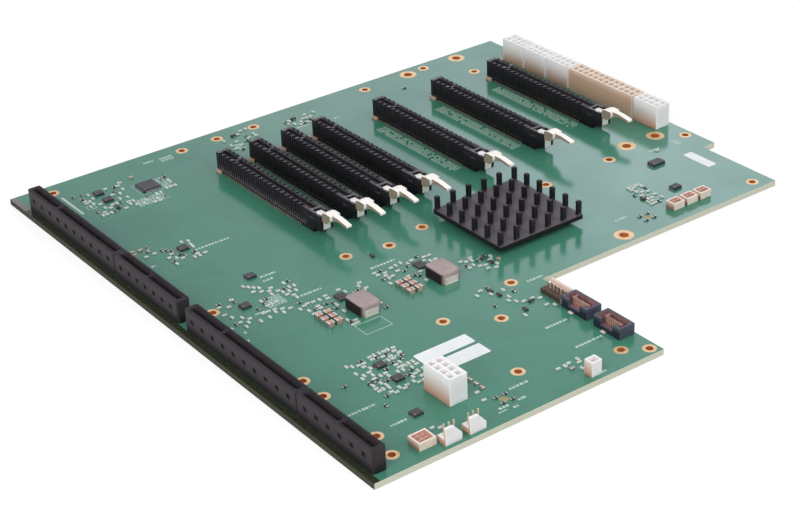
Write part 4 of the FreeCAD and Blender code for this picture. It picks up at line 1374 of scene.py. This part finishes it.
def clusterPlaces(taken):        # small parts on a loose grid, clear of pieces and of each other
    look = clusterLook
    step, margin = look["step"], look["margin"]
    chance = random.Random(look["seed"])
    blocked = [edgesOf(node) for node in nodes if not node.endswith(("board", "pins", "locks"))]
    rings = [(x, y, kind["ring"]) for kind in ringKinds.values() for x, y in kind["places"]]
    found = []

    def isClear(x, y):
        for low, high in blocked:
            if low.x - margin < x < high.x + margin and low.y - margin < y < high.y + margin:
                return False
        if any(math.hypot(x - other[0], y - other[1]) < look["near"] for other in taken + found):
            return False
        return all(
            math.hypot(x - ringX, y - ringY) >= reach + look["ringGap"] for ringX, ringY, reach in rings
        )

    for left, front, right, rear, share in clusterAreas:
        for column in range(int((right - left) / step) + 1):
            for row in range(int((rear - front) / step) + 1):
                x = left + column * step + chance.uniform(-1, 1) * look["wobble"]
                y = front + row * step + chance.uniform(-1, 1) * look["wobble"]
                if chance.random() <= share and isClear(x, y):
                    found.append((x, y, chance.choice((0, 90))))
    return found


chipPlaces = {
    "tanCapacitor": [
        (-140.1, 68.1, 0), (-136.0, 67.3, 0), (-133.5, 63.9, 90), (-140.8, 64.8, 0), (-84.6, -127.1, 90),
        (-84.6, -131.2, 90), (-84.5, -135.3, 90), (-45.5, -148.5, 0), (-8.2, -52.6, 90), (-99.7, 141.1, 0),
    ],
    "darkResistor": [
        (-127.6, 60.5, 90), (-125.6, 58.8, 90), (-124.0, 57.0, 90), (-122.9, 51.6, 0), (-95.4, -34.0, 0),
        (-93.9, -40.0, 0), (-92.2, -35.6, 90), (-49.5, -32.6, 0), (-48.2, -38.8, 0), (-45.2, -30.0, 90),
        (-129.2, -96.9, 0), (-124.0, -120.2, 90), (78.2, 139.2, 0), (-133.9, 140.9, 90),
    ],
    "paleCapacitor": [
        (-126.9, 138.0, 90), (-116.6, 138.5, 0), (-116.0, 123.7, 90), (-126.9, 119.5, 90),
        (-118.6, 112.2, 0), (-129.5, 131.0, 90), (-113.0, 129.0, 90), (-107.5, 140.1, 0),
        (-112.7, 60.8, 90), (-123.5, 47.4, 0), (-112.3, 45.2, 0), (-116.3, 4.4, 90), (-114.6, 2.4, 90),
        (-112.9, 0.4, 90), (-111.1, -1.4, 90), (-135.3, -4.9, 0), (-131.4, -7.3, 0), (-135.4, -16.5, 90),
        (-131.9, -19.5, 90), (-115.2, -2.9, 0), (-112.1, -5.0, 0), (-109.0, -7.0, 0), (-105.8, -9.5, 0),
        (-104.6, -11.9, 90), (-101.8, -13.0, 90), (-98.8, -14.3, 90), (-116.3, -22.8, 0),
        (-113.2, -24.6, 0), (-110.1, -26.5, 0), (-104.2, -29.0, 0), (-98.9, -28.6, 0), (-104.9, -34.2, 90),
        (-91.6, -27.7, 0), (-83.7, -27.0, 0), (-95.6, -29.0, 90), (-92.6, -44.6, 90), (-72.4, -28.1, 0),
        (-72.7, -34.0, 0), (-57.5, -28.3, 0), (-52.5, -26.3, 0), (-58.9, -33.4, 90), (-40.8, -26.6, 0),
        (-49.5, -25.8, 90), (-46.6, -46.2, 90), (-117.4, -86.0, 90), (-113.6, -89.4, 0),
        (-117.6, -95.3, 90), (-115.7, -100.0, 0), (-102.2, -87.9, 0), (-95.6, -87.2, 0), (-99.0, -96.2, 90),
        (-97.4, -102.8, 90), (-99.6, -107.9, 0), (-98.1, -111.0, 0), (-116.0, -113.0, 0),
        (-111.2, -112.4, 90), (-115.4, -104.6, 90), (-117.3, -109.0, 90), (-107.6, -112.9, 0),
        (-103.6, -112.4, 90), (-88.4, -136.6, 0), (-89.7, -143.0, 0), (-119.1, -145.5, 0),
        (-116.3, -147.4, 0), (-18.4, -100.0, 0), (-15.6, -102.4, 90), (-50.1, -144.6, 0),
        (-46.3, -144.8, 90), (-39.5, -146.2, 0), (-41.7, -150.7, 90), (-21.7, -44.8, 0), (-21.0, -49.3, 90),
        (-19.1, -52.2, 0), (-17.4, -56.2, 0), (-17.9, -43.0, 0), (-33.9, -70.7, 0), (-25.2, -76.8, 90),
        (-37.8, -73.4, 90), (91.2, -39.8, 0), (95.4, -40.5, 90), (94.3, -46.9, 0), (94.6, -51.6, 0),
        (95.0, -56.3, 90), (88.9, -43.8, 90), (130.2, -15.6, 0), (-24.7, 152.5, 0), (-21.2, 152.9, 90),
        (13.9, 146.6, 0), (20.0, 146.6, 90),
    ],
    "rowCapacitor": rowPlaces(),
}
fixedPlaces = [place for places in chipPlaces.values() for place in places]
fixedPlaces += transistorLook["places"] + powerChipLook["places"]
for index, place in enumerate(clusterPlaces(fixedPlaces)):        # one dark part in four
    chipPlaces["paleCapacitor" if index % clusterLook["darkEvery"] else "darkResistor"].append(place)
for kind, places in chipPlaces.items():
    parts = scatter(makeChipPart(kind), f"{kind}s", places)
    finishPiece(parts)
print("chip parts:", sum(len(places) for places in chipPlaces.values()))


# tin terminals under the ends of the inductors

terminalLook = {"half": 3.9, "reach": 0.5, "thick": 0.18, "rim": 0.14, "lean": 0.1, "rise": 3.0, "edge": 0.04}


def makeTerminals():
    look = terminalLook
    terminals = []
    for number in (1, 2):
        low, high = edgesOf(f"inductor_{number}")
        middle = (low + high) / 2
        for front, rear, side in ((low.y - look["reach"], low.y, -1), (high.y, high.y + look["reach"], 1)):
            foot = addBlock(
                f"terminal_{number}_{side}", (middle.x - look["half"], front, boardTop),
                (middle.x + look["half"], rear, boardTop + look["thick"]),
            )
            editOn(foot)
            pickFaces(foot, lambda place, normal: normal.z > squareOn)
            bpy.ops.mesh.inset(thickness=look["rim"] * mm)
            extrudeBy(0, -side * look["lean"], look["rise"])
            editOff()
            terminals.append(roundEdges(foot, look["edge"], 1))
    piece = joinPieces("inductorTerminals", terminals)
    paint(piece, finishes["terminalTin"])
    finishPiece(piece)


makeTerminals()
print("terminals set")


# blank labels with rounded corners

labelLook = {"thick": 0.11, "corner": 0.8, "steps": 4, "edge": 0.03, "edgeAngle": 60, "areas": [
    (-91.7, -103.6, -62.7, -95.6), (-82.5, -114.5, -62.6, -105.6), (136.8, -47.1, 142.7, -28.1),
]}


def makeLabels():
    look = labelLook
    labels = []
    for index, (left, front, right, rear) in enumerate(look["areas"]):
        label = addBlock(f"label_{index}", (left, front, boardTop), (right, rear, boardTop + look["thick"]))
        roundCorners(label, look["corner"], look["steps"])
        labels.append(roundEdges(label, look["edge"], 1, look["edgeAngle"]))
    sheet = joinPieces("blankLabels", labels)
    paint(sheet, finishes["labelPaper"])
    finishPiece(sheet)


makeLabels()
print("labels:", len(labelLook["areas"]))


# test squares: a plated square with a dark chip at each corner

squareLook = {
    "half": 1.9, "thick": 0.06, "edge": 0.02, "corner": 2.5, "places": [(-82.6, -147.5), (74.7, -66.9)],
}


def makeSquares():
    look = squareLook
    half, out, top = look["half"], look["corner"], boardTop + look["thick"]
    squares = []
    corners = []
    for index, (x, y) in enumerate(look["places"]):
        plate = addBlock(f"plate_{index}", (x - half, y - half, boardTop), (x + half, y + half, top))
        squares.append(roundEdges(plate, look["edge"], 1))
        corners += [(x + across, y + along, 0) for across in (-out, out) for along in (-out, out)]
    plates = joinPieces("platedSquares", squares)
    paint(plates, finishes["squareCoat"])
    finishPiece(plates)
    finishPiece(scatter(makeChipPart("darkResistor"), "squareCorners", corners))


makeSquares()
print("test squares:", len(squareLook["places"]))


# printed marks: short strokes in rows, frames and lines, no words

inkLook = {
    "low": 0.004, "high": 0.03, "corner": 0.08, "steps": 2, "gap": 0.01, "seed": 11,
    "stroke": (0.5, 1.5), "shortest": 0.2, "space": (0.35, 0.75), "tallShare": 0.8, "lineShare": 1.3,
}
inkFrames = [        # left, front, right, rear, width of the line
    (-96.7, -68.0, -82.1, -58.3, 0.3), (-134.0, 123.0, -129.6, 127.6, 0.3),
    (-104.6, 119.7, -91.2, 133.1, 0.25),
]
inkLines = [        # left, front, right, rear
    (-139.2, 121.0, -137.8, 145.0), (-140.4, -38.5, -139.6, -36.8), (-138.0, -31.8, -137.0, -30.0),
    (-140.6, -25.0, -139.6, -23.2), (-125.6, -20.9, -120.4, -20.2), (-91.0, -154.6, -86.4, -154.1),
]
inkRows = [        # left, front, right, rear, height of a row
    (-86.0, 151.6, -80.0, 153.4, 1.8), (-76.8, 147.6, -69.2, 153.4, 1.0), (-90.8, 118.6, -86.8, 132.5, 0.9),
    (-111.8, 109.0, -95.3, 117.6, 0.9), (-139.8, 49.1, -137.2, 51.1, 1.8), (-114.2, 50.3, -95.2, 52.2, 1.8),
    (-105.0, 6.5, -96.7, 8.4, 1.8), (-106.0, 2.3, -100.6, 4.2, 1.8), (-117.0, -20.0, -107.0, -11.0, 0.5),
    (-104.4, -91.2, -94.6, -89.2, 1.8), (-101.0, -100.5, -96.6, -98.5, 1.8),
    (-131.3, -133.9, -122.8, -132.1, 1.8), (-143.0, -116.5, -126.5, -114.5, 1.8),
    (-11.4, -78.4, -2.2, -76.5, 1.8), (-32.0, -115.9, -19.0, -114.0, 1.8),
    (-32.4, -136.6, -17.0, -134.8, 1.8), (89.5, -38.0, 97.0, -36.0, 1.8), (126.2, -14.2, 134.0, -12.3, 1.8),
    (143.6, -17.0, 146.6, -10.5, 0.9), (-37.0, 132.4, -33.4, 140.4, 0.9), (2.0, 134.7, 10.0, 136.5, 1.8),
    (24.2, 131.4, 28.0, 133.3, 1.8), (-37.0, -158.8, -34.4, -157.0, 1.8),
    (-83.4, -155.6, -80.2, -153.7, 1.8), (-60.0, -20.8, -46.0, -18.9, 1.8),
    (-100.0, -20.6, -88.0, -18.7, 1.8), (-79.6, -40.0, -76.0, -31.0, 0.8),
    (-33.2, -40.0, -30.0, -31.0, 0.8), (-76.0, -143.8, -66.0, -141.9, 1.8), (60.0, -60.4, 68.0, -58.5, 1.8),
    (-78.2, -152.4, -74.4, -150.6, 1.8), (-89.0, -152.8, -83.4, -151.0, 1.8),
]


def printStrokes(chance, left, front, right, rear, tall):
    look = inkLook
    strokes = []
    y = front
    while y + tall <= rear + look["gap"]:
        x = left
        while x < right - look["shortest"]:
            end = min(x + chance.uniform(*look["stroke"]), right)
            strokes.append((x, y, end, y + tall * look["tallShare"]))
            x = end + chance.uniform(*look["space"])
        y += tall * look["lineShare"]
    return strokes


def makeInk():
    look = inkLook
    chance = random.Random(look["seed"])
    areas = list(inkLines)
    for left, front, right, rear, width in inkFrames:
        areas += [(left, front, right, front + width), (left, rear - width, right, rear)]
        low, high = front + width + look["gap"], rear - width - look["gap"]
        areas += [(left, low, left + width, high), (right - width, low, right, high)]
    for row in inkRows:
        areas += printStrokes(chance, *row)
    block = addBlock("ink", (-0.5, -0.5, look["low"]), (0.5, 0.5, look["high"]))
    marks = []
    for index, (left, front, right, rear) in enumerate(areas):
        mark = copyPiece(block, f"ink_{index}")
        spread = Matrix.Diagonal((right - left, rear - front, 1, 1))
        middle = Vector(((left + right) / 2, (front + rear) / 2, boardTop)) * mm
        mark.data.transform(Matrix.Translation(middle) @ spread)
        marks.append(mark)
    removePiece(block)
    ink = joinPieces("printedMarks", marks)
    roundCorners(ink, look["corner"], look["steps"])
    paint(ink, finishes["printedInk"])
    finishPiece(ink)
    print("printed strokes:", len(areas))


makeInk()


# stage: pale floor, soft lamps, camera

stageLook = {
    "floor": tint(155, 155, 155), "floorLift": 0.73, "floorSize": 12.0, "floorDrop": 0.2,
    "ambient": 0.60, "seen": 0.92, "ambientTint": (0.98, 0.99, 1.0, 1.0), "seenTint": (1.0, 0.96, 1.06, 1.0),
}
# place, size in metres and power in watts; aimed at the board's middle, or level and facing down
lampLook = {
    "keySoftbox": {
        "place": (0.55, -0.95, 1.05), "size": (0.9, 0.9), "power": 5.5, "color": (1.0, 0.985, 0.96),
    },
    "fillSoftbox": {
        "place": (-0.9, -0.5, 0.6), "size": (0.8, 0.8), "power": 7.0, "color": (1.0, 0.985, 0.975),
    },
    "rightPanel": {
        "place": (1.12, 0.98, 0.7), "size": (0.52, 0.56), "power": 2.3, "color": (0.88, 0.96, 1.0),
        "level": True,
    },
    "rearPanel": {
        "place": (1.0, 1.5, 0.7), "size": (0.6, 0.48), "power": 0.8, "color": (0.95, 1.0, 1.0),
        "level": True,
    },
    "middlePanel": {
        "place": (0.76, 1.06, 0.7), "size": (0.2, 0.5), "power": 0.16, "color": (0.95, 1.0, 1.0),
        "level": True,
    },
}


def seenRays(tree):        # 1 where the camera, a glossy face or glass sees the surface
    path = addNode(tree, "ShaderNodeLightPath")
    seen = mathNode(tree, "MAXIMUM", path.outputs["Is Camera Ray"], path.outputs["Is Glossy Ray"])
    return mathNode(tree, "MAXIMUM", seen, path.outputs["Is Transmission Ray"])


def makeFloor():
    deselectAll()
    bpy.ops.mesh.primitive_plane_add(
        size=stageLook["floorSize"], location=(0, 0, -stageLook["floorDrop"] * mm),
    )
    floor = rename(bpy.context.object, "floor")
    material = bpy.data.materials.new("floorPaper")
    material.use_nodes = True
    tree = material.node_tree
    tree.nodes.clear()
    paper = addNode(tree, "ShaderNodeBsdfDiffuse", {"Color": stageLook["floor"]})
    lift = mathNode(tree, "MULTIPLY", seenRays(tree), stageLook["floorLift"])
    glow = addNode(tree, "ShaderNodeEmission", {"Strength": lift})
    both = addNode(tree, "ShaderNodeAddShader", {0: paper.outputs[0], 1: glow.outputs[0]})
    addNode(tree, "ShaderNodeOutputMaterial", {"Surface": both.outputs[0]})
    paint(floor, material)


def makeWorld():
    world = bpy.data.worlds.new("studio")
    bpy.context.scene.world = world
    world.use_nodes = True
    tree = world.node_tree
    tree.nodes.clear()
    room, white = [
        addNode(tree, "ShaderNodeBackground", {"Color": stageLook[f"{key}Tint"], "Strength": stageLook[key]})
        for key in ("ambient", "seen")
    ]
    either = addNode(
        tree, "ShaderNodeMixShader", {0: seenRays(tree), 1: room.outputs[0], 2: white.outputs[0]},
    )
    addNode(tree, "ShaderNodeOutputWorld", {"Surface": either.outputs[0]})


def makeLamps():
    for name, look in lampLook.items():
        data = bpy.data.lights.new(name, "AREA")
        data.shape = "RECTANGLE"
        data.size, data.size_y = look["size"]
        data.energy = look["power"]
        data.color = look["color"]
        lamp = bpy.data.objects.new(name, data)
        bpy.context.collection.objects.link(lamp)
        lamp.location = look["place"]
        if not look.get("level"):
            lamp.rotation_euler = (-Vector(look["place"])).to_track_quat("-Z", "Y").to_euler()


cameraLook = {
    "place": (-0.49185, -0.65505, 0.43366), "azimuth": -35.27, "elevation": 29.09, "roll": 2.56,
    "lens": 83.27, "sensor": 36.0,
}


def makeCamera():
    look = cameraLook
    azimuth, elevation, roll = [math.radians(look[key]) for key in ("azimuth", "elevation", "roll")]
    level = math.cos(elevation)
    back = Vector((math.sin(azimuth) * level, -math.cos(azimuth) * level, math.sin(elevation)))
    right = Vector((math.cos(azimuth), math.sin(azimuth), 0))
    down = (-back).cross(right)
    turnedRight = right * math.cos(roll) + down * math.sin(roll)
    turnedDown = down * math.cos(roll) - right * math.sin(roll)
    data = bpy.data.cameras.new("camera")
    data.lens = look["lens"]
    data.sensor_width = look["sensor"]
    camera = bpy.data.objects.new("camera", data)
    bpy.context.collection.objects.link(camera)
    camera.location = look["place"]
    camera.rotation_euler = Matrix((turnedRight, -turnedDown, back)).transposed().to_euler()
    bpy.context.scene.camera = camera


makeFloor()
makeWorld()
makeLamps()
makeCamera()
bpy.context.scene.view_settings.view_transform = "Standard"
print("stage set")
